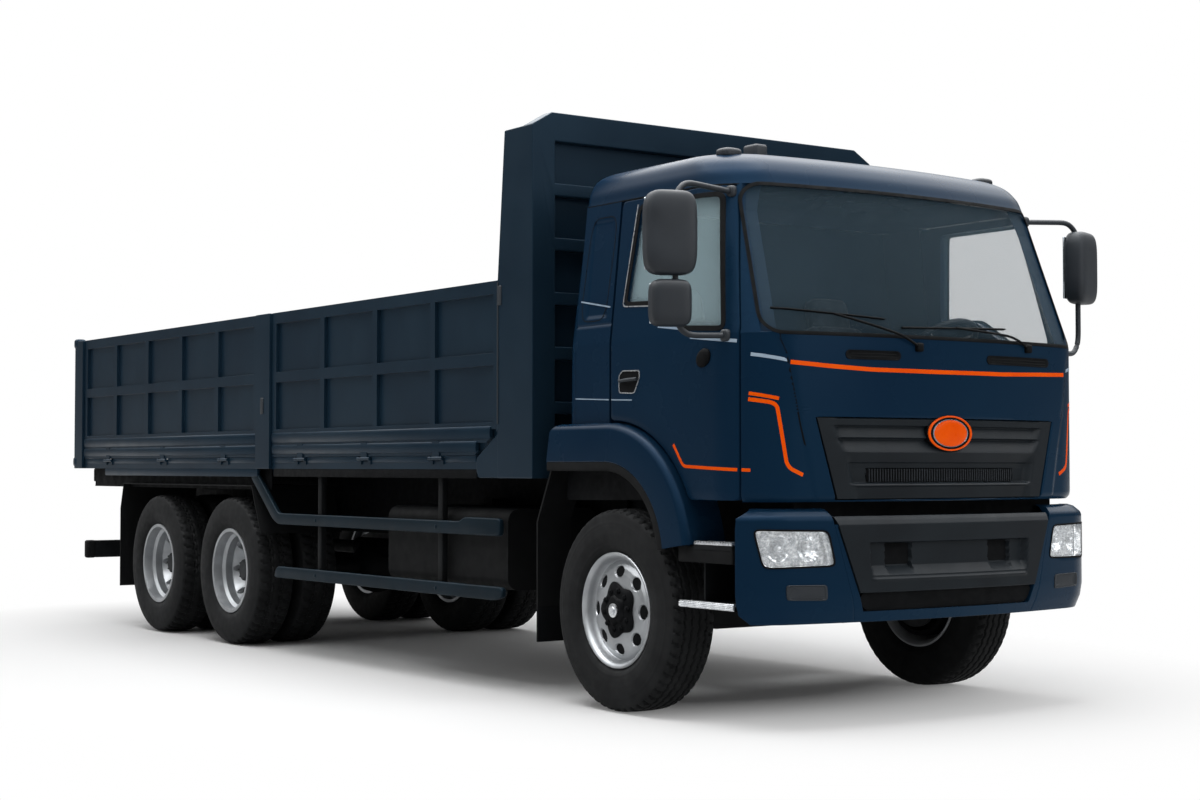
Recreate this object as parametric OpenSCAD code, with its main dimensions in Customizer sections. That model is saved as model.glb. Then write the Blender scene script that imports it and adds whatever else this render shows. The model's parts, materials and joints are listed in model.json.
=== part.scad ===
/* [Overall] */
// Length from the bumper's face to the tailgate's hinge barrels
truck_l = 8950; // [8800:10:9300]
// Width over the posts of the load body
body_w = 2500; // [2460:10:2550]
// Bumper's face to the front axle
front_over = 1250; // [1220:5:1300]
// Front axle to the first rear axle
wheelbase = 4700; // [4600:10:4900]
// First rear axle to the second
tandem = 1300; // [1280:5:1360]

/* [Wheels] */
// Diameter of a tyre
tyre_d = 1044; // [1000:2:1060]
// Width of a tyre
tyre_w = 290; // [270:2:300]
// Diameter of a rim over its flanges
rim_d = 597; // [580:1:610]
// Width of a rim over its flanges
rim_w = 248; // [236:2:256]
// Middle of the outer tyres, left to right
track = 2140; // [2110:2:2160]
// Spacing of the twin tyres
twin = 335; // [325:1:350]
// Radius of the spindles that the hubs turn on
spindle_r = 45; // [40:1:50]
// Running clearance of hubs, pins and hinges
run_gap = 0.4; // [0.3:0.1:0.6]
// Number of hand holes in a wheel disc
hand_holes = 8; // [6:1:10]

/* [Steering] */
// Middle of the kingpins, left to right
kingpin_w = 1720; // [1700:2:1740]
// Length of a track arm, kingpin to tie rod
track_arm = 240; // [220:2:260]

/* [Frame] */
// Outer faces of the frame rails, left to right
rail_w = 860; // [820:10:880]
// Height of a frame rail
rail_h = 260; // [240:5:280]
// Width of a rail's flanges
rail_flange = 80; // [70:1:90]
// Plate thickness of a rail
rail_t = 8; // [7:0.5:10]
// Top of the rails over the ground
rail_top = 1100; // [1090:5:1120]

/* [Cab] */
// Width of the cab at its belt
cab_w = 2370; // [2340:10:2390]
// Width of the cab at the top of the doors
cab_top_w = 2210; // [2180:10:2240]
// Front axle to the cab's front panel
cab_front_y = 1205; // [1195:1:1215]
// Front axle to the cab's back at the floor
cab_back_y = 460; // [440:5:480]
// Thickness of the cab's walls and doors
wall = 60; // [50:1:70]
// Bottom of the cab's panels over the ground
cab_z = 1090; // [1080:2:1100]
// Bottom of the windscreen over the ground
belt_z = 1900; // [1880:5:1920]
// Top of the windscreen and doors over the ground
header_z = 2650; // [2630:5:2670]
// Top of the roof over the ground
roof_z = 2862; // [2850:2:2880]
// Shut line round a door
door_gap = 8; // [6:1:10]
// Shut line behind a door
door_rear_gap = 14; // [13:1:18]
// Thickness of the window glass
glass_t = 8; // [5:1:10]
// Depth of the glass behind the skin
glass_in = 14; // [8:1:20]

/* [Load body] */
// Top of the deck over the ground
deck_z = 1316; // [1310:2:1330]
// Top of the sideboards over the ground
board_top = 2305; // [2200:5:2400]
// Top of the headboard over the ground
head_top = 3210; // [3100:10:3300]
// Thickness of a sideboard
board_t = 47; // [40:1:52]
// Thickness of the headboard's panel
head_t = 100; // [80:5:110]
// Front axle to the headboard's front
head_y = 690; // [680:5:740]
// Width of the post between the sideboards
post_l = 220; // [180:5:260]
// Width of the headboard's side posts
head_post = 260; // [220:5:280]
// Length of the front sideboard
front_board = 2890; // [2800:10:3000]
// Radius of the hinge barrels
barrel_r = 11; // [9:1:12]

/* [Hidden] */
$fn = 48;
seam = 0.3;

// Places along the truck
y_front = -truck_l / 2;
y_rear = truck_l / 2;
y_axle = y_front + front_over;
y_r1 = y_axle + wheelbase;
y_r2 = y_r1 + tandem;
y_bogie = (y_r1 + y_r2) / 2;
axle_z = tyre_d / 2;
tyre_x = track / 2;
king_x = kingpin_w / 2;

// Frame
rail_x = rail_w / 2;
web_x = rail_x - rail_t;
rail_bot = rail_top - rail_h;
bumper_end = -985;
rail_y0 = y_axle + bumper_end + 3;
rail_y1 = y_rear - 230;

// Cab
cab_x = cab_w / 2;
cab_top_x = cab_top_w / 2;
floor_z = 1200;
floor_t = 50;
corner_r = 330;
bow_r = 5000;
// A cab section: height, half width, front, back, corner radius, share of the wall that the roof lies in
cab_sections = [
    [cab_z - 120, cab_x, -cab_front_y, cab_back_y, corner_r, 0],
    [belt_z, cab_x, -cab_front_y, cab_back_y - 20, corner_r, 0],
    [header_z, cab_top_x, -cab_front_y + 275, cab_back_y - 55, corner_r - 30, 0],
    [roof_z - 132, cab_top_x - 15, -cab_front_y + 315, cab_back_y - 62, corner_r - 30, 1],
    [roof_z - 62, cab_top_x - 60, -cab_front_y + 400, cab_back_y - 100, corner_r - 40, 1],
    [roof_z - 20, cab_top_x - 190, -cab_front_y + 560, cab_back_y - 210, corner_r - 60, 1],
    [roof_z, cab_top_x - 480, -cab_front_y + 850, cab_back_y - 420, corner_r - 90, 1]
];

// Doors
door_front = -945;
door_back = 60;
door_top_front = -790;
door_bot = cab_z;
corner_x = cab_x - corner_r;
corner_y = -cab_front_y + bow_r - sqrt(pow(bow_r - corner_r, 2) - pow(corner_x, 2));
door_hinge_x = corner_x + sqrt(pow(corner_r, 2) - pow(door_front - corner_y, 2)) - 10;
door_hinge_y = y_axle + door_front + 5;

// Load body
body_x = body_w / 2;
y_head = y_axle + head_y;
deck_y0 = y_head + head_t;
side_rail_z = [deck_z - 71, deck_z - 24];
hinge_z = deck_z - 8;
hinge_x = body_x - barrel_r - 1;
hinge_y = y_rear - barrel_r;
board_x1 = hinge_x - 6;
board_x0 = board_x1 - board_t;
board_bot = hinge_z + barrel_r + 7;
deck_x = board_x0 - 5;
rail_out = hinge_x - barrel_r - 2;
board_gap = 8;
head_post_y = deck_y0 + head_post;
foot_y = head_post_y + 250;
foot_z = board_bot + 130;
post_y0 = head_post_y + front_board + 2 * board_gap;
post_y1 = post_y0 + post_l;
rear_post_y0 = y_rear - 200;
tail_y1 = hinge_y - 6;
tail_y0 = tail_y1 - board_t;

paint_blue = "#1d3448";
bed_blue = "#22323f";
dark_grey = "#2b3036";
black = "#16181a";
steel = "#b9bdc0";
orange = "#f05a14";

// Points of an arc about c
function arc(c, r, a0, a1, n) =
    [for (i = [0 : n]) let (a = a0 + (a1 - a0) * i / n) [c[0] + r * cos(a), c[1] + r * sin(a)]];

// A list without its first point
function rest(p) = [for (i = [1 : len(p) - 1]) p[i]];

// Half a plan outline, front middle to back: bowed front, round front corner, small back corner
function plan_half(w, yf, yb, r, rb) =
    let (
        cx = w - r,
        by = yf + bow_r,
        cy = by - sqrt((bow_r - r) * (bow_r - r) - cx * cx),
        turn = atan2(cy - by, cx)
    )
    concat(arc([0, by], bow_r, -90, turn, 3), rest(arc([cx, cy], r, turn, 0, 7)),
        arc([w - rb, yb - rb], rb, 0, 90, 2));

// A whole plan outline, its left half the mirror of its right
function plan(w, yf, yb, r, rb) =
    let (h = plan_half(w, yf, yb, r, rb))
    concat(h, [for (i = [len(h) - 1 : -1 : 1]) [-h[i][0], h[i][1]]]);

// Solid through outlines of equal length at rising heights
module loft(outlines, heights) {
    n = len(outlines[0]);
    m = len(outlines);
    points = [for (k = [0 : m - 1]) for (p = outlines[k]) [p[0], p[1], heights[k]]];
    sides = [for (k = [0 : m - 2]) for (i = [0 : n - 1]) let (j = (i + 1) % n)
        each [[k * n + i, k * n + n + i, k * n + n + j], [k * n + i, k * n + n + j, k * n + j]]];
    bottom = [for (i = [0 : n - 1]) i];
    top = [for (i = [n - 1 : -1 : 0]) (m - 1) * n + i];
    polyhedron(points, concat([bottom], sides, [top]));
}

// Extrusions of an outline along X (drawn in Y, Z) and along Y (drawn in X, Z)
module run_x(x0, x1) { translate([x0, 0, 0]) rotate([90, 0, 90]) linear_extrude(x1 - x0) children(); }
module run_y(y0, y1) { translate([0, y1, 0]) rotate([90, 0, 0]) linear_extrude(y1 - y0) children(); }

// A box between two corners
module box(a, b) { translate(a) cube(b - a); }

// The left half and its mirror
module both() {
    children();
    mirror([1, 0, 0]) children();
}

// Left on the +X side, right on the -X side
module side(right) { mirror([right ? 1 : 0, 0, 0]) children(); }

// A cylinder along X or along Y from its start
module rod_x(at, r, l) { translate(at) rotate([0, 90, 0]) cylinder(r = r, h = l); }
module rod_y(at, r, l) { translate(at) rotate([-90, 0, 0]) cylinder(r = r, h = l); }

// Two channel rails that carry everything
module frame_rails() {
    color(black) both() run_y(rail_y0, rail_y1) polygon([
        [rail_x, rail_bot], [rail_x, rail_top], [rail_x - rail_flange, rail_top],
        [rail_x - rail_flange, rail_top - rail_t], [web_x, rail_top - rail_t],
        [web_x, rail_bot + rail_t], [rail_x - rail_flange, rail_bot + rail_t],
        [rail_x - rail_flange, rail_bot]]);
}

// Channels between the rails' webs, and the end plate with the coupling's four bolt holes
cross_h = 150;
cross_d = 90;
cross_t = 10;
cross_y = [y_axle + 1250, y_axle + 2250, y_axle + 3250, y_r1 - 620, y_bogie, y_r2 + 600];
end_plate_t = 14;
bolt_x = 160;
bolt_z = 100;
bolt_r = 10.5;
coupling_z = rail_top - rail_h / 2;
module crossmembers() {
    cross_z = rail_top - 40 - cross_h;
    color(black) {
        for (y = cross_y) translate([0, y, cross_z]) run_x(-web_x, web_x) polygon([
            [0, 0], [cross_d, 0], [cross_d, cross_t], [cross_t, cross_t],
            [cross_t, cross_h - cross_t], [cross_d, cross_h - cross_t], [cross_d, cross_h], [0, cross_h]]);
        difference() {
            box([-web_x, rail_y1 - end_plate_t, rail_bot + 20], [web_x, rail_y1, rail_top - 20]);
            for (x = [-1, 1], z = [-1, 1])
                rod_y([x * bolt_x / 2, rail_y1 - end_plate_t - 1, coupling_z + z * bolt_z / 2], bolt_r, end_plate_t + 2);
        }
    }
}

// Dropped beam of the front axle with the kingpins' eyes
eye_r = 58;
eye_h = 110;
kingpin_r = 24;
beam_d = 100;
pad_z = axle_z - 32;
spring_x = rail_x - rail_flange / 2;
spring_w = 80;
module front_axle() {
    color(black) difference() {
        union() {
            run_y(y_axle - beam_d / 2, y_axle + beam_d / 2) polygon([
                [-king_x, axle_z - 50], [-king_x + 110, axle_z - 50], [-king_x + 290, pad_z - 90],
                [king_x - 290, pad_z - 90], [king_x - 110, axle_z - 50], [king_x, axle_z - 50],
                [king_x, axle_z + 50], [king_x - 130, axle_z + 50], [king_x - 330, pad_z],
                [-king_x + 330, pad_z], [-king_x + 130, axle_z + 50], [-king_x, axle_z + 50]]);
            both() translate([king_x, y_axle, axle_z - eye_h / 2]) cylinder(r = eye_r, h = eye_h);
        }
        both() translate([king_x, y_axle, 0]) cylinder(r = kingpin_r + run_gap, h = rail_top);
    }
}

// Leaf packs: front ones bow up to hangers, rear ones bow down over a trunnion bracket
leaf_half = 760;
leaf_t = 100;
leaf_tip = 18;
front_camber = rail_bot - pad_z - leaf_t - 90;
rear_drop = 100;
rear_flat = 560;
rear_seat_z = axle_z + 78;
module leaf_springs() {
    steps = 10;
    rear_x = [rail_x + 15, rail_x + 15 + spring_w];
    color(dark_grey) both() {
        run_x(spring_x - spring_w / 2, spring_x + spring_w / 2) translate([y_axle, pad_z]) union() {
            polygon(concat(
                [for (i = [-steps : steps]) let (u = i / steps)
                    [u * leaf_half, front_camber * u * u + (leaf_t - leaf_tip) * abs(u)]],
                [for (i = [steps : -1 : -steps]) let (u = i / steps)
                    [u * leaf_half, front_camber * u * u + leaf_t]]));
            for (s = [-1, 1]) translate([s * leaf_half - 35, front_camber + leaf_t - leaf_tip - 20])
                square([70, rail_bot - pad_z - front_camber - leaf_t + leaf_tip + 20]);
        }
        run_x(rear_x[0], rear_x[1]) translate([y_bogie, rear_seat_z]) polygon(concat(
            [for (i = [-steps : steps]) let (u = i / steps * (tandem / 2 + 70))
                [u, rear_drop * (1 - min(1, pow(u / rear_flat, 2)))]],
            [for (i = [steps : -1 : -steps]) let (u = i / steps * (tandem / 2 + 70))
                [u, rear_drop * (1 - min(1, pow(u / rear_flat, 2)))
                    + leaf_tip + (leaf_t - leaf_tip) * (1 - abs(u) / (tandem / 2 + 70))]]));
        run_x(rail_x, rear_x[1] + 20) translate([y_bogie, rear_seat_z]) polygon([
            [-90, -30], [90, -30], [120, rear_drop + leaf_t + 20], [60, rail_top - rear_seat_z - 40],
            [-60, rail_top - rear_seat_z - 40], [-120, rear_drop + leaf_t + 20]]);
    }
}

// Two driven axles: housing, round gear case, shaft nose, spring pads and spindles
housing_r = 74;
case_r = 200;
nose_r = 75;
nose_z = axle_z + 130;
nose_front = 330;
nose_back = 250;
hub_in = 20;
module rear_axles() {
    spindle_x = tyre_x - hub_in;
    back_x = tyre_x - twin - tyre_w / 2 + 14;
    color(black) for (y = [y_r1, y_r2]) union() {
        rod_x([-back_x, y, axle_z], housing_r, 2 * back_x);
        rod_x([-spindle_x, y, axle_z], spindle_r, 2 * spindle_x);
        both() rod_x([back_x, y, axle_z], 185, 14);
        translate([0, y, axle_z]) sphere(r = case_r);
        rod_y([0, y - nose_front, nose_z], nose_r, nose_front + nose_back);
        both() box([rail_x + 10, y - 60, axle_z], [rail_x + 20 + spring_w, y + 60, rear_seat_z]);
    }
}

// Shaft from the gearbox to the first rear axle, and on to the second
shaft_r = 48;
flange_r = 72;
flange_t = 30;
gearbox_y = y_axle + 1000;
module propshaft() {
    color(dark_grey) for (run = [[gearbox_y, y_r1 - nose_front], [y_r1 + nose_back, y_r2 - nose_front]]) {
        rod_y([0, run[0], nose_z], shaft_r, run[1] - run[0]);
        for (y = [run[0], run[1] - flange_t]) rod_y([0, y, nose_z], flange_r, flange_t);
    }
}

// Engine and gearbox as one plain mass on brackets between the rails
engine_x = 310;
engine_z = [640, floor_z - floor_t - 40];
module engine() {
    color(dark_grey) union() {
        box([-engine_x, y_axle - 900, engine_z[0]], [engine_x, y_axle + 280, engine_z[1]]);
        box([-190, y_axle + 280, 540], [190, gearbox_y, 920]);
        for (y = [-520, 60]) box([-web_x, y_axle + y, 880], [web_x, y_axle + y + 120, 980]);
    }
}

// Fuel tank on the right, battery box and air bottles on the left, hung on the rails' webs
guard_x = [rail_out - 38, rail_out - 6];
hanger_d = 40;
tank_gap = 17;
tank_r = 70;
tank_x = [rail_x + 90, guard_x[0] - hanger_d - tank_gap];
tank_z = [560, 1020];
tank_y = [y_axle + 1120, y_axle + 2500];
bottle_r = 130;
bottle_x = (tank_x[0] + tank_x[1]) / 2 - 5;
module side_tanks() {
    color(black) {
        mirror([1, 0, 0]) union() {
            run_y(tank_y[0], tank_y[1]) polygon(concat(
                arc([tank_x[1] - tank_r, tank_z[0] + tank_r], tank_r, -90, 0, 5),
                arc([tank_x[1] - tank_r, tank_z[1] - tank_r], tank_r, 0, 90, 5),
                arc([tank_x[0] + tank_r, tank_z[1] - tank_r], tank_r, 90, 180, 5),
                arc([tank_x[0] + tank_r, tank_z[0] + tank_r], tank_r, 180, 270, 5)));
            for (y = [tank_y[0] + 250, tank_y[1] - 330])
                box([rail_x, y, rail_bot + 40], [tank_x[0] + 60, y + 80, rail_top - 40]);
        }
        union() {
            box([tank_x[0], tank_y[0], tank_z[0] + 40], [tank_x[1], tank_y[0] + 620, tank_z[1]]);
            box([rail_x, tank_y[0] + 270, rail_bot + 40], [tank_x[0] + 20, tank_y[0] + 350, rail_top - 40]);
        }
        union() {
            for (z = [0, 2 * bottle_r + 20]) rod_y([bottle_x, tank_y[0] + 900, 740 + z], bottle_r, 900);
            box([rail_x, tank_y[0] + 1300, 740 + bottle_r - 20], [bottle_x, tank_y[0] + 1380, 740 + bottle_r + 40]);
        }
    }
}

// Side guards: two rails a side on hangers from the frame, the upper one rising over the wheel
guard_up = [870, 945];
guard_low = [510, 586];
guard_y = [y_axle + 1070, y_axle + 3900];
guard_rise = [y_axle + 4310, side_rail_z[0]];
hanger_y = [y_axle + 1750, y_axle + 3300];
module side_guards() {
    color(dark_grey) both() union() {
        run_x(guard_x[0], guard_x[1]) polygon([
            [guard_y[0], guard_up[0]], [guard_y[1] - 20, guard_up[0]], [guard_y[1] + 60, guard_up[0] + 30],
            [guard_rise[0], guard_rise[1] - 60], [guard_rise[0], guard_rise[1]], [guard_rise[0] - 60, guard_rise[1]],
            [guard_y[1] - 20, guard_up[1]], [guard_y[0] + 430, guard_up[1]],
            [guard_y[0] + 400, guard_up[1] + 25], [guard_y[0], guard_up[1] + 25]]);
        run_x(guard_x[0], guard_x[1]) polygon([
            [guard_y[0] - 30, guard_low[0] + 20], [guard_y[0] + 60, guard_low[0]],
            [guard_y[1] + 40, guard_low[0]], [guard_y[1], guard_low[1]], [guard_y[0] - 30, guard_low[1]]]);
        for (y = hanger_y) {
            box([guard_x[0] - hanger_d, y, guard_low[0]], [guard_x[0], y + 50, guard_up[1] + 130]);
            box([rail_x, y, guard_up[1] + 90], [guard_x[0], y + 50, guard_up[1] + 130]);
        }
    }
}

// The bumper's heights, half widths and front faces
insert_out = 8;
bumper_face = -front_over + insert_out;
bumper_sections = [
    [510, cab_x + 40, bumper_face + 35], [640, cab_x + 60, bumper_face],
    [1005, cab_x + 60, bumper_face], [1060, cab_x + 45, bumper_face + 22]];
bumper_t = 45;
module bumper_body(d, lip) {
    last = len(bumper_sections) - 1;
    translate([0, y_axle, 0]) loft(
        [for (s = bumper_sections) plan(s[1] - d, s[2] + d, -600, corner_r - d, 20)],
        [for (i = [0 : last]) bumper_sections[i][0] + (i == 0 ? lip : i == last ? -lip : 0)]);
}

// Outlines on the front, drawn in X and Z
insert_shape = [[-590, 585], [590, 585], [740, 1018], [-740, 1018]];
lamp_shape = [[745, 786], [1112, 780], [1148, 962], [785, 954]];
fog_shape = [[785, 618], [1015, 624], [1020, 706], [790, 703]];
front_depth = [y_axle - front_over - 60, y_axle - 880];
module front_cut(shape) { run_y(front_depth[0], front_depth[1]) polygon(shape); }

// Painted bumper, open at the back, on two brackets from the rail ends
module front_bumper() {
    color(paint_blue) {
        difference() {
            intersection() {
                difference() {
                    bumper_body(0, 0);
                    bumper_body(bumper_t, 25);
                }
                box([-2000, y_front - 100, 0], [2000, y_axle + bumper_end, 2000]);
            }
            front_cut(insert_shape);
            both() {
                front_cut(lamp_shape);
                front_cut(fog_shape);
            }
        }
    }
}

// Dark middle of the bumper with its slot, its bars and its lower intake, and the brackets behind
module bumper_insert() {
    slot = [540, 735, 895];
    color(dark_grey) union() {
        difference() {
            intersection() {
                difference() {
                    bumper_body(-insert_out, 0);
                    bumper_body(bumper_t - 5, 25);
                }
                front_cut(insert_shape);
            }
            for (s = [-1, 0, 1]) run_y(front_depth[0], front_depth[1])
                translate([s * slot[0] * 0.68, slot[1]]) translate([-slot[0] * 0.3, 0])
                    square([slot[0] * 0.6, slot[2] - slot[1]]);
            run_y(front_depth[0], y_front + 18) polygon([[-500, 612], [500, 612], [540, 680], [-540, 680]]);
            run_y(front_depth[0], y_front + 6) polygon([[-590, 705], [590, 705], [630, 930], [-630, 930]]);
        }
        intersection() {
            both() box([rail_x - rail_flange, y_front, 905], [rail_x, rail_y0, 1000]);
            bumper_body(bumper_t - 6, 0);
        }
    }
}

// Head lamps and fog lamps let into the bumper
lamp_in = 3;
module front_lamps() {
    color("#d8dde0") intersection() {
        difference() {
            bumper_body(lamp_in, 0);
            bumper_body(bumper_t - 2, 0);
        }
        both() {
            front_cut(lamp_shape);
            front_cut(fog_shape);
        }
    }
}

// Two treads a side between the bumper's end and the front wheel
step_y = [y_axle - 965, y_axle - 675];
step_x = [930, 1205];
step_up = 860;
step_low = 570;
module cab_steps() {
    color(black) both() union() {
        box([step_x[0], step_y[0], step_up], [step_x[1], step_y[1], step_up + 30]);
        box([step_x[0], step_y[0], step_low], [step_x[1] - 15, step_y[1], step_low + 30]);
        box([step_x[0], step_y[0], step_low], [step_x[0] + 20, step_y[1], step_up + 30]);
        for (y = [step_y[0], step_y[1] - 15])
            box([step_x[0], y, step_low], [step_x[1] - 60, y + 15, step_up + 30]);
        box([rail_x, step_y[0] + 60, step_up - 20], [step_x[0], step_y[0] + 130, step_up + 60]);
    }
}

// The front arch: a round front, a flat top and a small rear corner, at a depth under the fender's top
arch_c = [30, 785];
arch_r = 700;
arch_rear = [560, 1290];
arch_corner = 120;
fender_t = 20;
function arch(d) =
    let (r = max(arch_corner - d, 10), top = arch_c[1] + arch_r - d, back = arch_rear[0] - d)
    concat(arc(arch_c, arch_r - d, 172, 90, 14), arc([back - r, top - r], r, 90, 0, 4), [[back, arch_rear[1]]]);
function band(d0, d1) = let (a = arch(d0), b = arch(d1))
    concat(a, reversed(b));
fender_x = [cab_x - 185, cab_x + 60];
module arch_band(x0, x1, d0, d1) { run_x(x0, x1) translate([y_axle, 0]) polygon(band(d0, d1)); }

// Black liners under the front fenders, their lips and the flaps behind the wheels
liner_t = 14;
module front_mudguards() {
    flap_y = arch_rear[0] - fender_t;
    color(black) both() union() {
        arch_band(fender_x[0], fender_x[1] - 30, fender_t, fender_t + liner_t);
        arch_band(fender_x[1] - 30, fender_x[1] - 4, 110, 110 + 45);
        arch_band(fender_x[1] - 34, fender_x[1] - 30, fender_t, 110 + 45);
        run_x(fender_x[0], fender_x[1] - 30) translate([y_axle, 0]) polygon([
            [flap_y - liner_t, arch_rear[1]], [flap_y, arch_rear[1]], [flap_y + 160, arch_rear[1] - 330],
            [flap_y + 160, 500], [flap_y + 160 - liner_t, 500], [flap_y + 160 - liner_t, arch_rear[1] - 330]]);
    }
}

// Sheets over the rear wheels with turned-down ends and a flap behind
guard_top = 1130;
sheet_t = 8;
flap_z = 316;
flap_out = 4;
module rear_mudguards() {
    x0 = tyre_x - twin - tyre_w / 2 + 10;
    x1 = guard_x[1] + flap_out;
    front = y_r1 - 560;
    back = y_r2 + 700;
    color(black) both() union() {
        run_x(x0, x1) polygon([
            [front, guard_top - 330], [front + 150, guard_top - sheet_t], [back - 60, guard_top - sheet_t],
            [back, guard_top - 200], [back, flap_z], [back + sheet_t, flap_z], [back + sheet_t, guard_top - 200],
            [back - 55, guard_top], [front + 145, guard_top], [front - sheet_t, guard_top - 330]]);
        for (y = [y_r1 - 300, y_r2 + 320])
            box([rail_x, y, guard_top - 50], [x0 + 60, y + 60, guard_top - sheet_t]);
    }
}

// Bar across the rear on two hangers
bar_z = [510, 650];
module rear_underrun() {
    bar_y = rail_y1 - 60;
    color(black) union() {
        box([-body_x + 90, bar_y, bar_z[0]], [body_x - 90, bar_y + 60, bar_z[1]]);
        both() box([rail_x - rail_flange, bar_y, bar_z[1]], [rail_x, bar_y + 50, rail_bot]);
    }
}

// Tail lamps under the deck's rear corners
lamp_h = 110;
module tail_lamps() {
    color("#8c1c14") both() box([body_x - 500, y_rear - 130, side_rail_z[0] - lamp_h],
        [body_x - 150, y_rear - 60, side_rail_z[0]]);
}

// The cab's outer form, drawn in by d
module cab_body(d) {
    translate([0, y_axle, 0]) loft(
        [for (s = cab_sections) plan(s[1] - d, s[2] + d, s[3] - d, s[4] - d, 60 - d / 2)],
        [for (s = cab_sections) s[0] - d * s[5]]);
}
module cab_shell() {
    difference() {
        cab_body(0);
        cab_body(wall);
    }
}

// A space between heights z0 and z1, and between y0 and y1 from the front axle
module slab(z0, z1, y0 = -2000, y1 = 2000) { box([-2000, y_axle + y0, z0], [2000, y_axle + y1, z1]); }

// Door outline, drawn in from its opening by the shut lines
function door_shape(gap, rear) =
    let (r = arch_r + 4 + gap, low = asin((door_bot + gap - arch_c[1]) / r))
    concat([[door_front + gap, belt_z], [door_front + gap, door_bot + gap]],
        arc(arch_c, r, 180 - low, acos((door_back - rear - arch_c[0]) / r), 10),
        [[door_back - rear, header_z - gap], [door_top_front + gap, header_z - gap]]);
module door_cut(gap, rear) { run_x(cab_x - 350, cab_x + 100) translate([y_axle, 0]) polygon(door_shape(gap, rear)); }

// Side window: level rear sill, drop to a lower front sill, raked front edge
window_shape = [[-50, 2095], [-330, 2085], [-540, 1945], [-868, 1925], [-735, 2600], [-110, 2600]];
module window_cut() { run_x(cab_x - 350, cab_x + 100) translate([y_axle, 0]) polygon(window_shape); }

// Windscreen opening, drawn in X and Z, with round corners
screen_low = 1050;
screen_top = 985;
screen_r = 70;
screen_shape = concat(
    arc([screen_low - screen_r, belt_z + screen_r], screen_r, -90, 5, 4),
    arc([screen_top - screen_r, header_z - screen_r], screen_r, 5, 90, 4),
    arc([-screen_top + screen_r, header_z - screen_r], screen_r, 90, 175, 4),
    arc([-screen_low + screen_r, belt_z + screen_r], screen_r, 175, 270, 4));
module screen_cut() { run_y(y_front - 50, y_axle - 500) polygon(screen_shape); }

// Grille opening and its ribs
grille_shape = [[-800, 1105], [800, 1105], [858, 1500], [-858, 1500]];

// Hinges of a door: two barrels turning between fixed barrels on one pin
door_hinges = [1260, 1740];
hinge_r = 9;
hinge_h = 60;
door_pin_r = 5;
// The door's front edge is rolled about the hinge line, and the cab's panel is coved round it
edge_r = 15;
edge_gap = 6;
edge_top = belt_z + 22;
module door_edge(out, end) {
    translate([door_hinge_x, door_hinge_y, door_bot - 200 * (1 - end) + door_gap * end])
        cylinder(r = edge_r + out, h = edge_top - door_bot + (200 + edge_gap) * (1 - end) - door_gap * end);
}
module door_barrel_space() {
    for (z = door_hinges) translate([door_hinge_x, door_hinge_y, z - hinge_h - 10])
        cylinder(r = edge_r + edge_gap, h = 2 * hinge_h + 20);
}
module door_pins() {
    for (z = door_hinges) {
        translate([door_hinge_x, door_hinge_y, z - hinge_h]) cylinder(r = door_pin_r, h = 2 * hinge_h);
        for (s = [-1, 0]) translate([0, 0, z + (s == 0 ? hinge_h / 2 : -hinge_h)]) {
            translate([door_hinge_x, door_hinge_y, 0]) cylinder(r = hinge_r, h = hinge_h / 2);
            box([door_hinge_x - 45, door_hinge_y - 30, 0], [door_hinge_x - 5, door_hinge_y - 4, hinge_h / 2]);
        }
    }
}

// Floor with the raised tunnel over the engine, on four mounts on the rails
tunnel_x = 420;
tunnel_z = 1400;
module cab_floor() {
    color(dark_grey) {
        intersection() {
            cab_body(wall);
            union() {
                difference() {
                    box([-990, y_axle - 1300, floor_z - floor_t], [990, y_axle + 700, floor_z]);
                    box([-tunnel_x, y_axle - 850, 0], [tunnel_x, y_axle + 250, floor_z + 1]);
                }
                difference() {
                    box([-tunnel_x - 30, y_axle - 880, floor_z - floor_t], [tunnel_x + 30, y_axle + 280, tunnel_z]);
                    box([-tunnel_x, y_axle - 850, 0], [tunnel_x, y_axle + 250, tunnel_z - 30]);
                }
            }
        }
        both() for (y = [-1030, 300])
            box([rail_x - rail_flange, y_axle + y, rail_top], [rail_x, y_axle + y + 90, floor_z - floor_t]);
    }
}

// Back wall, cut away over the fenders
back_split = 370;
module cab_back() {
    color(paint_blue) difference() {
        intersection() {
            cab_shell();
            slab(floor_z - floor_t, header_z, back_split);
        }
        both() box([fender_x[0] - 10, y_axle, 0], [2000, y_axle + 1000, arch_c[1] + arch_r]);
    }
}

// Side of the cab: windscreen pillar, panel behind the door, and the fender
fender_flange = 110;
module cab_side(right) {
    color(paint_blue) side(right) union() {
        difference() {
            intersection() {
                cab_shell();
                union() {
                    box([0, y_axle - 2000, belt_z], [2000, y_axle - 700, header_z]);
                    box([0, y_axle + door_back, arch_c[1] + arch_r - fender_t / 2], [2000, y_axle + back_split, header_z]);
                }
            }
            door_cut(0, 0);
            screen_cut();
            door_edge(edge_gap, 0);
        }
        arch_band(fender_x[0], fender_x[1], 0, fender_t);
        arch_band(fender_x[1] - 30, fender_x[1], 0, fender_flange);
    }
}
module cab_side_right() { cab_side(true); }
module cab_side_left() { cab_side(false); }

module cab_roof() {
    color(paint_blue) intersection() {
        cab_shell();
        slab(header_z, 4000);
    }
}

// Front panel with its wrapped corners, cut for the grille, carrying the doors' pins
module cab_front() {
    color(paint_blue) union() {
        difference() {
            intersection() {
                cab_shell();
                slab(cab_z, belt_z, -2000, door_front);
            }
            run_y(y_front, y_axle - 1000) polygon(grille_shape);
            both() door_edge(edge_gap, 0);
        }
        both() door_pins();
    }
}

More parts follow.
